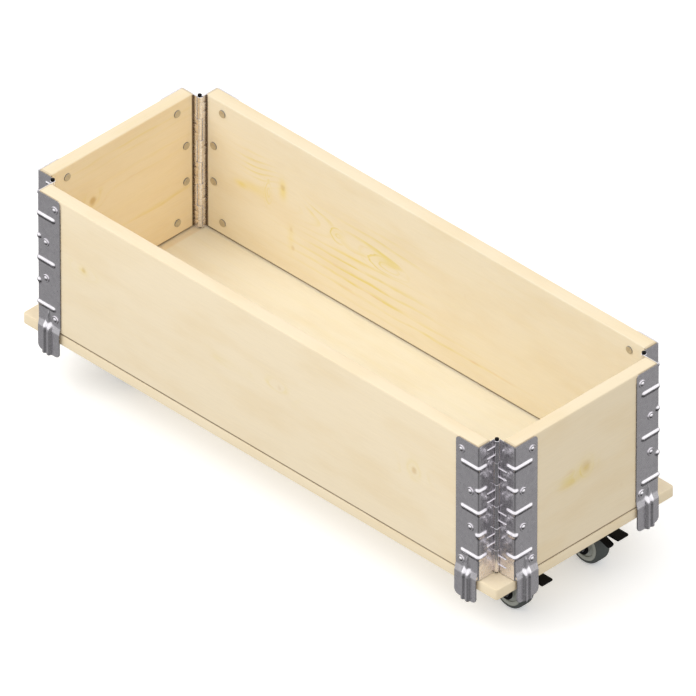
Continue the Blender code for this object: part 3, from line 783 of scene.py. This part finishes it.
def board_mesh(length, seed):
    """A planed board lying along x, with worn arrises and eased end faces."""
    verts, faces = [], []
    stations = board_stations(length)
    for x in stations:
        to_end = length / 2 - abs(x)
        inset = 0.0
        if to_end < END_EASE:
            inset = END_EASE - math.sqrt(max(END_EASE**2 - (END_EASE - to_end) ** 2, 0))
        verts += [(x, y, z) for y, z in board_section(inset, seed, x)]
    count = len(verts) // len(stations)
    for i in range(len(stations) - 1):
        for k in range(count):
            n = (k + 1) % count
            row, up = i * count, (i + 1) * count
            faces.append((row + k, row + n, up + n, up + k))
    faces.append(tuple(range(count)))
    faces.append(tuple(range(len(verts) - count, len(verts))))
    return smooth(new_mesh(verts, faces), 50)


def make_boards():
    lengths = (2 * HALF_LONG_BOARD, 2 * HALF_SHORT_BOARD)
    for index, side in enumerate(SIDES):
        low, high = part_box(f"{side}_board")
        quarter = index % 2
        mesh = board_mesh(lengths[quarter], 11.0 * index)
        place = at(*(low + high) / 2 / MM, quarter * QUARTER_TURN)
        nodes = [f"{side}_board"]
        piece(f"{side}_pine_board", mesh, side, f"{side}_panel", "collar_wood", place, nodes)


def make_base():
    """The base board, with round corners and eased edges."""
    half = (base_high - base_low) / 2 / MM
    corners = [(x * half.x, y * half.y, 4) for x, y in (SQUARE[3], *SQUARE[:3])]
    mesh = plate(rounded(corners), [], 2 * half.z, 1.4)
    place = at(0, 0, base_low.z / MM + half.z)
    piece("base_pine_board", mesh, "base", "base", "base_wood", place, ["base_board"])


# ---- hinge leaves


def knuckle_span(index):
    """Bottom and top of a knuckle, counted from the top."""
    pitch = (COLLAR_HEIGHT - 2 * KNUCKLE_END_ROOM) / KNUCKLES
    top = COLLAR_HEIGHT - KNUCKLE_END_ROOM - index * pitch
    return top - pitch + GAP / 2, top - GAP / 2


def bead_heights(own):
    """The heights of the two beads beside each knuckle."""
    middles = [sum(knuckle_span(index)) / 2 for index in own]
    return [middle + sign * BEAD_OFFSET for middle in middles for sign in (-1, 1)]


def bell(distance, reach):
    """A smooth hump: 1 at 0, 0 from reach on."""
    if distance >= reach:
        return 0.0
    return 0.5 + 0.5 * math.cos(math.pi * distance / reach)


def ramp(value, low, high):
    t = min(max((value - low) / (high - low), 0.0), 1.0)
    return t * t * (3 - 2 * t)


def pressed_rise(s, v, own):
    """How far the press pushes the sheet out. s is measured from the fold, positive
    on the outer flange and negative on the end flange; v is above the collar's bottom."""
    rise = 0.0
    start = -END_RIB_END + RIB_HALF_WIDTH
    for k, height in enumerate(RIB_HEIGHTS):
        reach = (SHORT_RIB_END if k % 2 else LONG_RIB_END) - RIB_HALF_WIDTH
        beyond = max(start - s, 0.0, s - reach)
        away = math.hypot(beyond, v - height)
        rise = max(rise, RIB_RISE * bell(away, RIB_HALF_WIDTH) ** 0.6)
    if s < 0:
        beyond = max(s - BEAD_END, 0.0)
        for height in bead_heights(own):
            rise = max(rise, BEAD_RISE * bell(math.hypot(beyond, v - height), BEAD_HALF_WIDTH))
    return rise


def skirt_rise(s, v):
    """The foot's outward step, its grooved flute, and the neck above the flute."""
    if s < 0 or v > NECK_TOP:
        return 0.0
    step = SKIRT_STEP * min(max((SKIRT_BAND - v) / SKIRT_BAND, 0.0), 1.0)
    off_centre = abs(s - FLUTE_CENTRE)
    wall = ramp(FLUTE_HALF_WIDTH - off_centre, 0, FLUTE_WALL)
    groove = GROOVE_DEPTH * bell(off_centre, GROOVE_HALF_WIDTH)
    below = ramp(SKIRT_BAND - v, -3, 6)
    flute = (FLUTE_RISE * wall - groove) * below
    ball = BALL_RISE * bell(math.hypot(off_centre, v - 4), BALL_RADIUS)
    neck_width = 2.0 + 4.5 * ramp(NECK_TOP - v, 5, 19)
    neck_rise = NECK_RISE * ramp(NECK_TOP - v, 0, 7)
    neck = neck_rise * bell(off_centre, neck_width) * (1 - below)
    return step + flute + ball * below + neck


def corner_cut(to_edge, radius):
    """How much of a sheet's end is rounded off at a distance from its side edge."""
    inside = max(radius - max(to_edge, 0.0), 0.0)
    return radius - math.sqrt(max(radius**2 - inside**2, 0.0))


def flange_height(s, v):
    """Moves a grid row so that the flange's corners come out round."""
    to_free = FLANGE_LENGTH - s
    top_room = 12
    below_top = LEAF_TOP - v
    if below_top < top_room:
        v -= corner_cut(to_free, TOP_CORNER_RADIUS) * (1 - below_top / top_room)
    foot_room = 20
    above_foot = v + SKIRT_DROP
    if above_foot < foot_room:
        lift = max(corner_cut(to_free, SKIRT_RADIUS), corner_cut(s - BEND_START, SKIRT_RADIUS))
        v += lift * (1 - above_foot / foot_room)
    return v


def spread(low, high, step):
    count = max(1, round((high - low) / step))
    return [low + (high - low) * i / count for i in range(count + 1)]


def leaf_columns():
    """The leaf's section, from the outer flange's free edge to the rolled eye:
    (x, y, normal x, normal y, s, zone)."""
    columns = []
    bend_x = END_MID_X + BEND_RADIUS
    bend_y = OUTER_MID_Y + BEND_RADIUS
    free_x = FOLD_X + FLANGE_LENGTH
    swings = [math.radians(a) for a in range(0, 90, 12)]
    eased = [SKIRT_RADIUS * (1 - math.cos(a)) for a in swings]
    middle = spread(bend_x + SKIRT_RADIUS, free_x - SKIRT_RADIUS, 0.62)
    across = [free_x - e for e in eased] + middle[::-1] + [bend_x + e for e in eased[::-1]]
    for x in across:
        columns.append((x, OUTER_MID_Y, 0, -1, x - FOLD_X, "outer"))
    bend_steps = 7
    for i in range(1, bend_steps + 1):
        turn = math.radians(270 - 90 * i / bend_steps)
        dx, dy = math.cos(turn), math.sin(turn)
        s = BEND_START - 2 * BEND_START * i / bend_steps
        x, y = bend_x + BEND_RADIUS * dx, bend_y + BEND_RADIUS * dy
        columns.append((x, y, dx, dy, s, "bend"))
    outer_edge = -HINGE_INSET - GAP - SHEET
    for zone, low, high in (("end", bend_y, TAB_START_Y), ("tab", TAB_START_Y, 0)):
        for y in spread(low, high, 0.9)[1:]:
            columns.append((END_MID_X, y, -1, 0, outer_edge - y, zone))
    for turn in spread(0, ROLL_END_DEG, 14)[1:]:
        a = math.radians(turn)
        dx, dy = math.cos(a), math.sin(a)
        r = END_MID_X + (ROLL_MID_RADIUS - END_MID_X) * ramp(turn, 0, 28)
        columns.append((r * dx, r * dy, -dx, -dy, ROLLED, "tab"))
    return columns


def leaf_rows(own):
    """Heights of the grid's rows: fixed edges first, then the pressed features."""
    fixed = {0.0, LEAF_TOP, -SKIRT_DROP, SKIRT_BAND}
    for index in own:
        fixed.update(knuckle_span(index))
    bands = [(-SKIRT_DROP, LEAF_TOP, 3.4), (-2, 13, 1.1)]
    bands.append((-SKIRT_DROP, SKIRT_RADIUS - SKIRT_DROP, 1.4))
    bands.append((LEAF_TOP - TOP_CORNER_RADIUS, LEAF_TOP, 1.2))
    bands += [(c - RIB_HALF_WIDTH, c + RIB_HALF_WIDTH, 0.53) for c in RIB_HEIGHTS]
    bands += [(c - BEAD_HALF_WIDTH, c + BEAD_HALF_WIDTH, 0.45) for c in bead_heights(own)]
    wanted = {v for band in bands for v in spread(*band)}
    rows = sorted(fixed)
    for v in sorted(wanted):
        if min(abs(v - row) for row in rows) > 0.36:
            rows.append(v)
    return sorted(rows)


def leaf_cell_exists(zone, low, high, own):
    if zone == "outer":
        return True
    if zone in ("bend", "end"):
        return low >= -TOUCHING
    spans = [knuckle_span(index) for index in own]
    return any(low >= a - TOUCHING and high <= b + TOUCHING for a, b in spans)


def leaf_mesh(own, mirrored):
    """The pressed leaf as a closed sheet: two skins and a rounded rim."""
    columns, rows = leaf_columns(), leaf_rows(own)
    cells = set()
    for i in range(len(columns) - 1):
        zone = columns[i + 1][5]
        for j in range(len(rows) - 1):
            if leaf_cell_exists(zone, rows[j], rows[j + 1], own):
                cells.add((i, j))
    grid = {}
    for i, (x, y, nx, ny, s, zone) in enumerate(columns):
        for j, v in enumerate(rows):
            rise = pressed_rise(s, v, own) if s > ROLLED else 0.0
            height = v
            if zone == "outer":
                rise += skirt_rise(s, v)
                height = flange_height(s, v)
            normal = Vector((nx, ny, 0))
            half = (SHEET if s > ROLLED else ROLL_SHEET) / 2
            grid[i, j] = (Vector((x, y, height)) + normal * rise, normal * half)
    loops = [[(i, j), (i + 1, j), (i + 1, j + 1), (i, j + 1)] for i, j in cells]
    edges = dict.fromkeys(pair for loop in loops for pair in zip(loop, loop[1:] + loop[:1]))
    rim = [(a, b) for a, b in edges if (b, a) not in edges]
    on_rim = {key for pair in rim for key in pair}
    neighbours = {}
    for a, b in edges:
        neighbours.setdefault(a, set()).add(b)
        neighbours.setdefault(b, set()).add(a)
    verts, faces = [], []
    outer, inner, middle = {}, {}, {}
    ease = 0.3
    for key in sorted({key for loop in loops for key in loop}):
        spot, normal = grid[key]
        inset = Vector((0, 0, 0))
        if key in on_rim:
            pull = Vector((0, 0, 0))
            for other in neighbours[key]:
                pull += (grid[other][0] - spot).normalized()
            if pull.length > 0.2:
                inset = pull.normalized() * ease
            middle[key] = len(verts)
            verts.append(spot)
        outer[key] = len(verts)
        verts.append(spot + inset + normal)
        inner[key] = len(verts)
        verts.append(spot + inset - normal)
    for loop in loops:
        faces.append([outer[key] for key in loop])
        faces.append([inner[key] for key in reversed(loop)])
    edge_from = len(faces)
    for a, b in rim:
        faces.append([outer[b], outer[a], middle[a], middle[b]])
    cut_to = len(faces)
    for a, b in rim:
        faces.append([middle[b], middle[a], inner[a], inner[b]])
    if mirrored:
        verts = [Vector((-v.x, v.y, v.z)) for v in verts]
    return smooth(new_mesh(verts, faces, slice(edge_from, cut_to)), 42)


def rivet_mesh():
    """A rivet along y: outside a flanged dome, inside a dished tail."""
    head, tail, shank = RIVET_HEAD_RADIUS, 5.1, 2.2
    outside = -(HINGE_INSET + GAP + SHEET)
    inside = -(HINGE_INSET - BOARD_THICKNESS)
    edge = 0.45
    profile = arc((0, outside + 2.2), 4.2, 270, 312, 8)
    profile += [(3.2, outside - 0.72), (3.6, outside - 0.78)]
    profile += arc((head - edge, outside - 0.52), edge, 265, 360, 6)
    profile += [(head, outside - 0.02), (shank, outside), (shank, inside), (tail, inside + 0.02)]
    profile += [(tail, inside + 0.7)]
    profile += arc((tail - edge, inside + 0.9), edge, 0, 85, 5)
    profile += [(3.4, inside + 1.30), (2.4, inside + 0.95), (0.0, inside + 0.80)]
    mesh = lathe(profile, 28, "Y")
    # Inside: the flat faces take the tail look, whose brown is a painted reflection of the wood,
    # and the steep sides take the dark edge look as a painted shade outline.
    for face in mesh.polygons:
        if face.center.y > inside * MM:
            face.material_index = 1 if abs(face.normal.y) > 0.6 else 2
    return mesh


def pin_mesh():
    """A hinge pin with both ends peened to a low dome."""
    head, shank = 2.6, 1.9
    low, high = GAP, COLLAR_HEIGHT + 1.4
    profile = [(0, low), (1.8, low + 0.1), (head, low + 0.7), (head, low + 1.1), (shank, low + 1.2)]
    profile += [(shank, high - 3.0), (head, high - 2.8)]
    profile += [(head, high - 0.7), (1.8, high - 0.1), (0, high)]
    return lathe(profile, 28)


def make_hinges():
    leaf_a = leaf_mesh((0, 2, 4), True)
    leaf_b = leaf_mesh((1, 3, 5), False)
    rivet = rivet_mesh()
    pin = pin_mesh()
    signs = ((1, -1), (1, 1), (-1, 1), (-1, -1))
    corners = [(x * HINGE_X, y * HINGE_Y, COLLAR_BOTTOM) for x, y in signs]
    for k, side in enumerate(SIDES):
        panel = (f"{side}_panel", "galvanised_steel")
        ends = (("end", leaf_a, corners[k], -1), ("start", leaf_b, corners[k - 1], 1))
        for end, mesh, corner, hand in ends:
            place = at(*corner, k * QUARTER_TURN)
            name, node = f"{side}_pressed_leaf_{end}", f"{side}_leaf_{end}"
            piece(name, mesh, "zinc", *panel, place, [node], ["cut_edge_and_shade"])
            for number, (height, reach) in enumerate(RIVET_SPOTS, 1):
                spot = place @ at(hand * (FOLD_X + reach), 0, height)
                name = f"{side}_{end}_rivet_{number}"
                piece(name, rivet, "zinc", *panel, spot, others=["tail", "cut_edge_and_shade"])
    homes = (
        ("right_front", "front_panel"), ("right_back", "right_panel"), ("left_back", "back_panel"),
        ("left_front", "front_panel"),
    )
    for (name, body), corner in zip(homes, corners):
        nodes = [f"hinge_pin_{name}"]
        piece(f"{name}_peened_pin", pin, "pin", body, "pin_steel", at(*corner), nodes)


# ---- castors


def top_plate_mesh():
    """The castor's plate, pressed down in the middle to hold the ball race."""
    outline = rounded([(x * 31, y * 28, 6) for x, y in SQUARE])
    holes = [circle(x * SCREW_X, y * SCREW_Y, 2.8, 20) for x, y in SQUARE]
    holes.append(circle(0, 0, 12, 48))
    sheet = moved(plate(outline, holes, PLATE, 0.5), (0, 0, -GAP - PLATE / 2))
    low = -GAP - PLATE
    dish = [
        (5.4, RACE_TOP + 1.9), (5.4, RACE_TOP + GAP), (13, RACE_TOP + GAP), (14.2, RACE_TOP + 0.8),
        (15.6, low - 0.4), (17.4, low + 0.2), (17.4, low + 1.0), (11.6, low + 1.0),
        (11.0, RACE_TOP + 1.9),
    ]
    return combine(sheet, [lathe(dish, 64)])


def screw_mesh():
    """A washer-headed hexagon screw, head down."""
    low = -GAP - PLATE
    washer = [
        (0, low - 1.1), (4.6, low - 1.1), (5.4, low - 0.6), (5.4, low - 0.1), (2.4, low - 0.05),
        (2.4, 9), (0, 11),
    ]
    hexagon = [(0, low - 3.4), (3.1, low - 3.4), (4.0, low - 2.8), (4.0, low - 1.0), (0, low - 0.8)]
    return combine(lathe(washer, 32), [lathe(hexagon, 6)])


def king_pin_mesh():
    """The swivel rivet, peened to a dome under the fork's crown."""
    top = CROWN_TOP - CROWN - GAP
    profile = [(0, top - 3.2), (3, top - 3.1)]
    profile += arc((5.2, top - 0.7), 2.3, 285, 360, 6)
    profile += [(7.5, top), (4.9, top), (4.9, -2.4), (4.4, -2 * GAP), (0, -2 * GAP)]
    return lathe(profile, 40)


def race_mesh():
    """Two pressed cups with a seam between them where the balls run."""
    low, high = CROWN_TOP + GAP, RACE_TOP
    middle = (low + high) / 2
    profile = [(8, low), (15.2, low)]
    profile += arc((15.4, low + 0.55), 0.55, -80, 80, 6)
    profile += [(15.2, middle), (15.6, middle + 0.35), (15.6, high - 0.3), (15.2, high), (8, high)]
    return lathe(profile, 64)


def arm_outline():
    top = CROWN_TOP - 0.83
    outline = [(-12, top), (-12, top - 6)]
    outline += arc((TRAIL, AXLE_Z), 10.5, -160, 0, 25)
    return outline + [(21.8, -24), (21.8, top)]


def fork_mesh():
    """A pressed fork: a round crown with a raised track, and two arms that trail
    to the axle, each with a raised seat round the axle and a hole for the pedal's pin."""
    edge = 0.5
    half_crown = math.degrees(math.asin(FORK_OUTER / CROWN_RADIUS))
    crown = arc((0, 0), CROWN_RADIUS, half_crown, 360 - half_crown, 61)
    lip = FORK_OUTER + 0.15
    crown += [(22.1, -lip), (22.1, lip)]
    hole = circle(0, 0, 5.4)
    top = moved(plate(crown, [hole], CROWN, edge), (0, 0, CROWN_TOP - CROWN / 2))
    low = CROWN_TOP - CROWN
    cup = [(16.4, low + 0.61), (16.4, low - 0.7), (17.0, low - 1.1), (18.4, low - 1.1)]
    cup += [(18.9, low - 0.5), (18.9, CROWN_TOP - CROWN / 2 - 0.07)]
    holes = [circle(TRAIL, AXLE_Z, 3.4), circle(PEDAL_X, PEDAL_Z, 2.4, 20)]
    side = plate(arm_outline(), holes, FORK_SHEET, edge, "XZ")
    seat = [(3.6, -0.6), (7.6, -0.6), (7.2, 0.1), (6.7, 0.35), (3.6, 0.35)]
    joined = [lathe(cup, 72)]
    for sign in (-1, 1):
        joined.append(moved(side, (0, sign * (FORK_INNER + FORK_SHEET / 2), 0)))
        raised = lathe([(r, sign * h) for r, h in seat], 48, "Y")
        joined.append(moved(raised, (TRAIL, sign * FORK_OUTER, AXLE_Z)))
    return combine(top, joined)


def hexagon_profile(start, end, bore):
    """A six-sided head's section, chamfered at its outer end."""
    step = math.copysign(0.9, end - start)
    return [(bore, start), (5.5, start), (5.5, end - step), (4.4, end), (bore, end)]


def axle_mesh():
    """A bolt with a chamfered head and a flange at -Y, and a bare end at +Y."""
    outer = FORK_OUTER + 0.4
    shaft = [(0, -outer - 3), (3, -outer - 3), (3, outer + 4.2)]
    shaft += [(2.3, outer + 4.9), (0, outer + 4.9)]
    flange = [(0, -outer - 1.0), (5.9, -outer - 0.8), (6.3, -outer), (0, -outer)]
    head = lathe(hexagon_profile(-outer - 0.5, -outer - 3.7, 0), 6, "Y")
    return combine(lathe(shaft, 32, "Y"), [lathe(flange, 48, "Y"), head])


def nut_mesh():
    """A lock nut: six sides, with a round collar over its insert."""
    start = FORK_OUTER + 0.4
    bore = 3.15
    body = lathe(hexagon_profile(start, start + 3.0, bore), 6, "Y")
    collar = [
        (bore, start + 0.5), (4.5, start + 0.5), (4.5, start + 3.5), (3.9, start + 4.1),
        (bore, start + 4.1),
    ]
    return combine(body, [lathe(collar, 40, "Y")])


def both_ends(side):
    """A section that is the same at -Y and +Y."""
    return [(r, -y) for r, y in side] + side[::-1]


def bush_mesh():
    """The plain bearing between axle and hub, with a small lip at each end."""
    side = [(3.3, 12.0), (5.0, 12.0), (5.0, 11.4), (4.7, 11.2)]
    return lathe(both_ends(side), 40, "Y")


def hub_mesh():
    """The wheel's centre, with a recessed web and a pale side ring over the tyre."""
    side = [
        (5.2, 11.0), (7.6, 11.0), (8.1, 10.6), (8.6, 8.6), (15.0, 8.2), (15.7, 10.2), (16.3, 10.5),
        (17.0, 10.5), (17.25, 10.25), (17.5, 10.5), (19.8, 10.6), (20.5, 10.1), (20.5, 9.6),
        (17.1, 9.5),
    ]
    return lathe(both_ends(side), 72, "Y")


def tyre_mesh():
    """The rubber tyre: soft shoulders and a fine mould line round the tread."""
    rim, half = WHEEL_RADIUS, 11
    shoulder = 4.5
    lip = 20.75
    profile = [(17.3, 9.3), (lip, 9.3), (lip, half - 0.6), (lip + 0.5, half - 0.1)]
    centre = rim - shoulder + 0.3
    for angle in range(65, -1, -13):
        a = math.radians(angle)
        x = centre + (rim - centre) * math.cos(a)
        y = half - shoulder + shoulder * math.sin(a) * 0.99
        profile.append((x, y))
    profile += [(rim, 0.5), (rim + 0.12, 0.0)]
    mirrored = [(r, -y) for r, y in reversed(profile[:-1])]
    return lathe(profile + mirrored, 96, "Y")


def pedal_mesh():
    """The brake pedal: two ears, a long flat toe, and a short lobe that slopes down
    beside it."""
    ear_half = FORK_INNER - 2 * GAP
    low = PEDAL_TOP - PEDAL_SHEET
    toe, half, split = 70, 15.5, -3
    fold, short_side = 50, -5
    outline = [
        (10, -ear_half, 1), (31, -ear_half, 3), (36, -half, 3), (fold + 1, -half, 0),
        (fold + 1, short_side, 0.8), (fold + 3, split, 1.2), (toe, split, 1.5), (toe, half, 1.5),
        (36, half, 3), (31, ear_half, 3), (10, ear_half, 1),
    ]
    sheet = plate(rounded(outline, 4), [], PEDAL_SHEET, 0.55)
    sheet = moved(sheet, (0, 0, low + PEDAL_SHEET / 2))
    slope = math.atan2(6, 18)
    lobe_reach = 18.6
    lobe_side = half - 0.13
    lobe = [
        (-3, -lobe_side, 0.5), (lobe_reach, -lobe_side, 3.2), (lobe_reach, short_side - 0.11, 3.2),
        (-3, short_side - 0.11, 0.5),
    ]
    lobe = plate(rounded(lobe, 5), [], PEDAL_SHEET, 0.55)
    lobe.transform(at(fold - 1, 0, low + PEDAL_SHEET / 2 - 0.07, slope, "Y"))
    ear_radius = 4
    ear = arc((PEDAL_X, PEDAL_Z), ear_radius, 0, 180, 17)
    ear += [(PEDAL_X - ear_radius, low + 0.8), (PEDAL_X + 2.5 * ear_radius, low + 0.8)]
    hole = circle(PEDAL_X, PEDAL_Z, 2.3, 20)
    side = plate(ear, [hole], 2, 0.3, "XZ")
    ears = [moved(side, (0, sign * (ear_half - 1.1), 0)) for sign in (-1, 1)]
    shoe = [(12, -8, 1), (18, -8, 1), (18, 8, 1), (12, 8, 1)]
    shoe = plate(rounded(shoe, 3), [], 1.8, 0.3)
    return combine(sheet, [lobe, *ears, moved(shoe, (0, 0, low + 0.1))])


def brake_pin_mesh():
    """The pedal's pivot, with a domed head at each end."""
    outer = FORK_OUTER + GAP
    head = [(0, outer + 1.5), (1.6, outer + 1.4), (2.8, outer + 1.0)]
    head += [(3.2, outer + 0.4), (3.2, outer), (2.0, outer)]
    other = [(r, -y) for r, y in reversed(head)]
    return lathe(head + other, 32, "Y")


def make_castors():
    at_pivot = at(TRAIL, 0, AXLE_Z)
    at_pedal = at(PEDAL_X, 0, PEDAL_Z)
    still = at(0, 0, 0)
    kinds = (
        ("top_plate", top_plate_mesh(), "bright", "base", "bright_zinc", still, "castor_plate"),
        ("king_pin", king_pin_mesh(), "bright", "base", "bright_zinc", still, "castor_king_pin"),
        ("ball_race", race_mesh(), "bright", "swivel", "bright_zinc", still, "castor_race"),
        ("fork", fork_mesh(), "black", "swivel", "black_steel", still, "castor_fork"),
        ("axle_bolt", axle_mesh(), "bright", "swivel", "bright_zinc", at_pivot, "castor_axle"),
        ("lock_nut", nut_mesh(), "bright", "swivel", "bright_zinc", at_pivot, "castor_nut"),
        ("plain_bush", bush_mesh(), "bush", "swivel", "bush_plastic", at_pivot, "castor_bush"),
        ("hub", hub_mesh(), "hub", "wheel", "hub_plastic", at_pivot, "wheel_hub"),
        ("tyre", tyre_mesh(), "rubber", "wheel", "grey_rubber", at_pivot, "wheel_tyre"),
        ("pedal", pedal_mesh(), "black", "pedal", "black_steel", still, "brake_pedal"),
        ("pedal_pin", brake_pin_mesh(), "bright", "swivel", "bright_zinc", at_pedal, "brake_pin"),
    )
    screw = screw_mesh()
    for corner in CORNERS:
        side_x = SWIVEL_X if corner.startswith("right") else -SWIVEL_X
        side_y = SWIVEL_Y if corner.endswith("back") else -SWIVEL_Y
        home = at(side_x, side_y, CASTOR_HEIGHT)
        for kind, mesh, look, body, slot, place, node in kinds:
            if f"{node}_{corner}" not in frame["nodes"]:
                continue
            rider = body if body == "base" else f"{body}_{corner}"
            stands_for = [f"{node}_{corner}"]
            piece(f"{kind}_{corner}", mesh, look, rider, slot, home @ place, stands_for)
        for number, (x, y) in enumerate(SQUARE, 1):
            spot = home @ at(x * SCREW_X, y * SCREW_Y, 0)
            piece(f"castor_screw_{corner}_{number}", screw, "bright", "base", "bright_zinc", spot)


# ---- stage


def aim(made, target, back, distance):
    """Puts an object at a distance from a target, in direction back, facing it."""
    made.location = target + back * distance
    made.rotation_mode = "QUATERNION"
    made.rotation_quaternion = (-back).to_track_quat("-Z", "Y")


def make_camera():
    """A long lens from the front right corner, so that parallels stay parallel."""
    azimuth, elevation = math.radians(45.0), math.radians(35.72)
    distance = 36.46
    target = Vector((0.0007, 0.0007, 0.1666))
    level = math.cos(elevation)
    back = Vector((math.sin(azimuth) * level, -math.cos(azimuth) * level, math.sin(elevation)))
    data = bpy.data.cameras.new("camera")
    data.lens = 1582
    data.sensor_width = 36
    data.clip_start = 1
    data.clip_end = 100
    camera = new_object("camera", data)
    aim(camera, target, back, distance)
    bpy.context.scene.camera = camera


def area_light(name, towards, distance, size, radiance):
    """A square soft box that faces the part from a direction, at a distance."""
    data = bpy.data.lights.new(name, "AREA")
    data.shape = "SQUARE"
    data.size = size
    data.energy = radiance * math.pi * size * size
    lamp = new_object(name, data)
    aim(lamp, Vector((0, 0, 0.15)), Vector(towards).normalized(), distance)
    lamp.visible_camera = False
    lamp.visible_glossy = False


def make_stage():
    """A pale floor in the studio room, with a large key light and a weak side light."""
    floor = bpy.data.meshes.new("floor")
    reach = 30.0
    corners = [(x * reach, y * reach, 0) for x, y in SQUARE]
    floor.from_pydata(corners, [], [(0, 1, 2, 3)])
    look = Look("studio_floor")
    speck = look.mix(look.grain((3,) * 3, 2.0, 0.5), (0.94,) * 3, (0.96,) * 3)
    values = {"Base Color": speck, "Roughness": 0.9, "Specular IOR Level": 0.1}
    values.update({"Emission Color": (1, 1, 1), "Emission Strength": 0.30})
    floor.materials.append(look.set(values))
    ground = new_object("floor", floor)
    ground.visible_glossy = False
    ground.visible_diffuse = False
    make_room()
    area_light("key_box", (-0.35, -0.62, 0.75), 5.0, 3.0, 3.1)
    area_light("side_box", (0.75, -0.15, 0.60), 5.0, 3.0, 1.2)


def make_room():
    """Even light for matt surfaces. Mirror-like ones see a bright ceiling over dim
    walls and a dark floor, as in a photographer's studio."""
    world = bpy.data.worlds.new("studio")
    world.use_nodes = True
    room = Nodes(world.node_tree)
    direction = room.node("ShaderNodeTexCoord", "Generated")
    height = room.split(direction)[2]

    def towards(x, y, *levels):
        return room.vector("DOT_PRODUCT", direction, (x, y, 0.0)).remap(*levels)

    def blend(factor, a, b):
        return room.node("ShaderNodeMix", "Result", {"Factor": factor, "A": a, "B": b})

    below = towards(-0.45, -0.89, -1.0, 1.0, 0.50, 1.05)
    above = height.remap(0.20, 0.85, 0.52, 0.94, True)
    even = blend(height.remap(-0.10, 0.15, 0.0, 1.0, True), below, above)
    walls = towards(0.707, -0.707, 0.10, 0.80, 0.30, 0.14)
    ground = height.remap(-0.80, -0.62, 0.12, 1.0, True)
    ceiling = height.remap(-0.40, 0.12, 0.0, 0.90, True)
    mirror = room.node("ShaderNodeLightPath", "Is Glossy Ray")
    background = world.node_tree.nodes["Background"]
    room.plug(background.inputs["Color"], (1, 1, 1))
    room.plug(background.inputs["Strength"], blend(mirror, even, walls * ground + ceiling))
    bpy.context.scene.world = world


bpy.context.scene.view_settings.view_transform = "Standard"
make_camera()
make_stage()
make_boards()
make_base()
make_hinges()
make_castors()
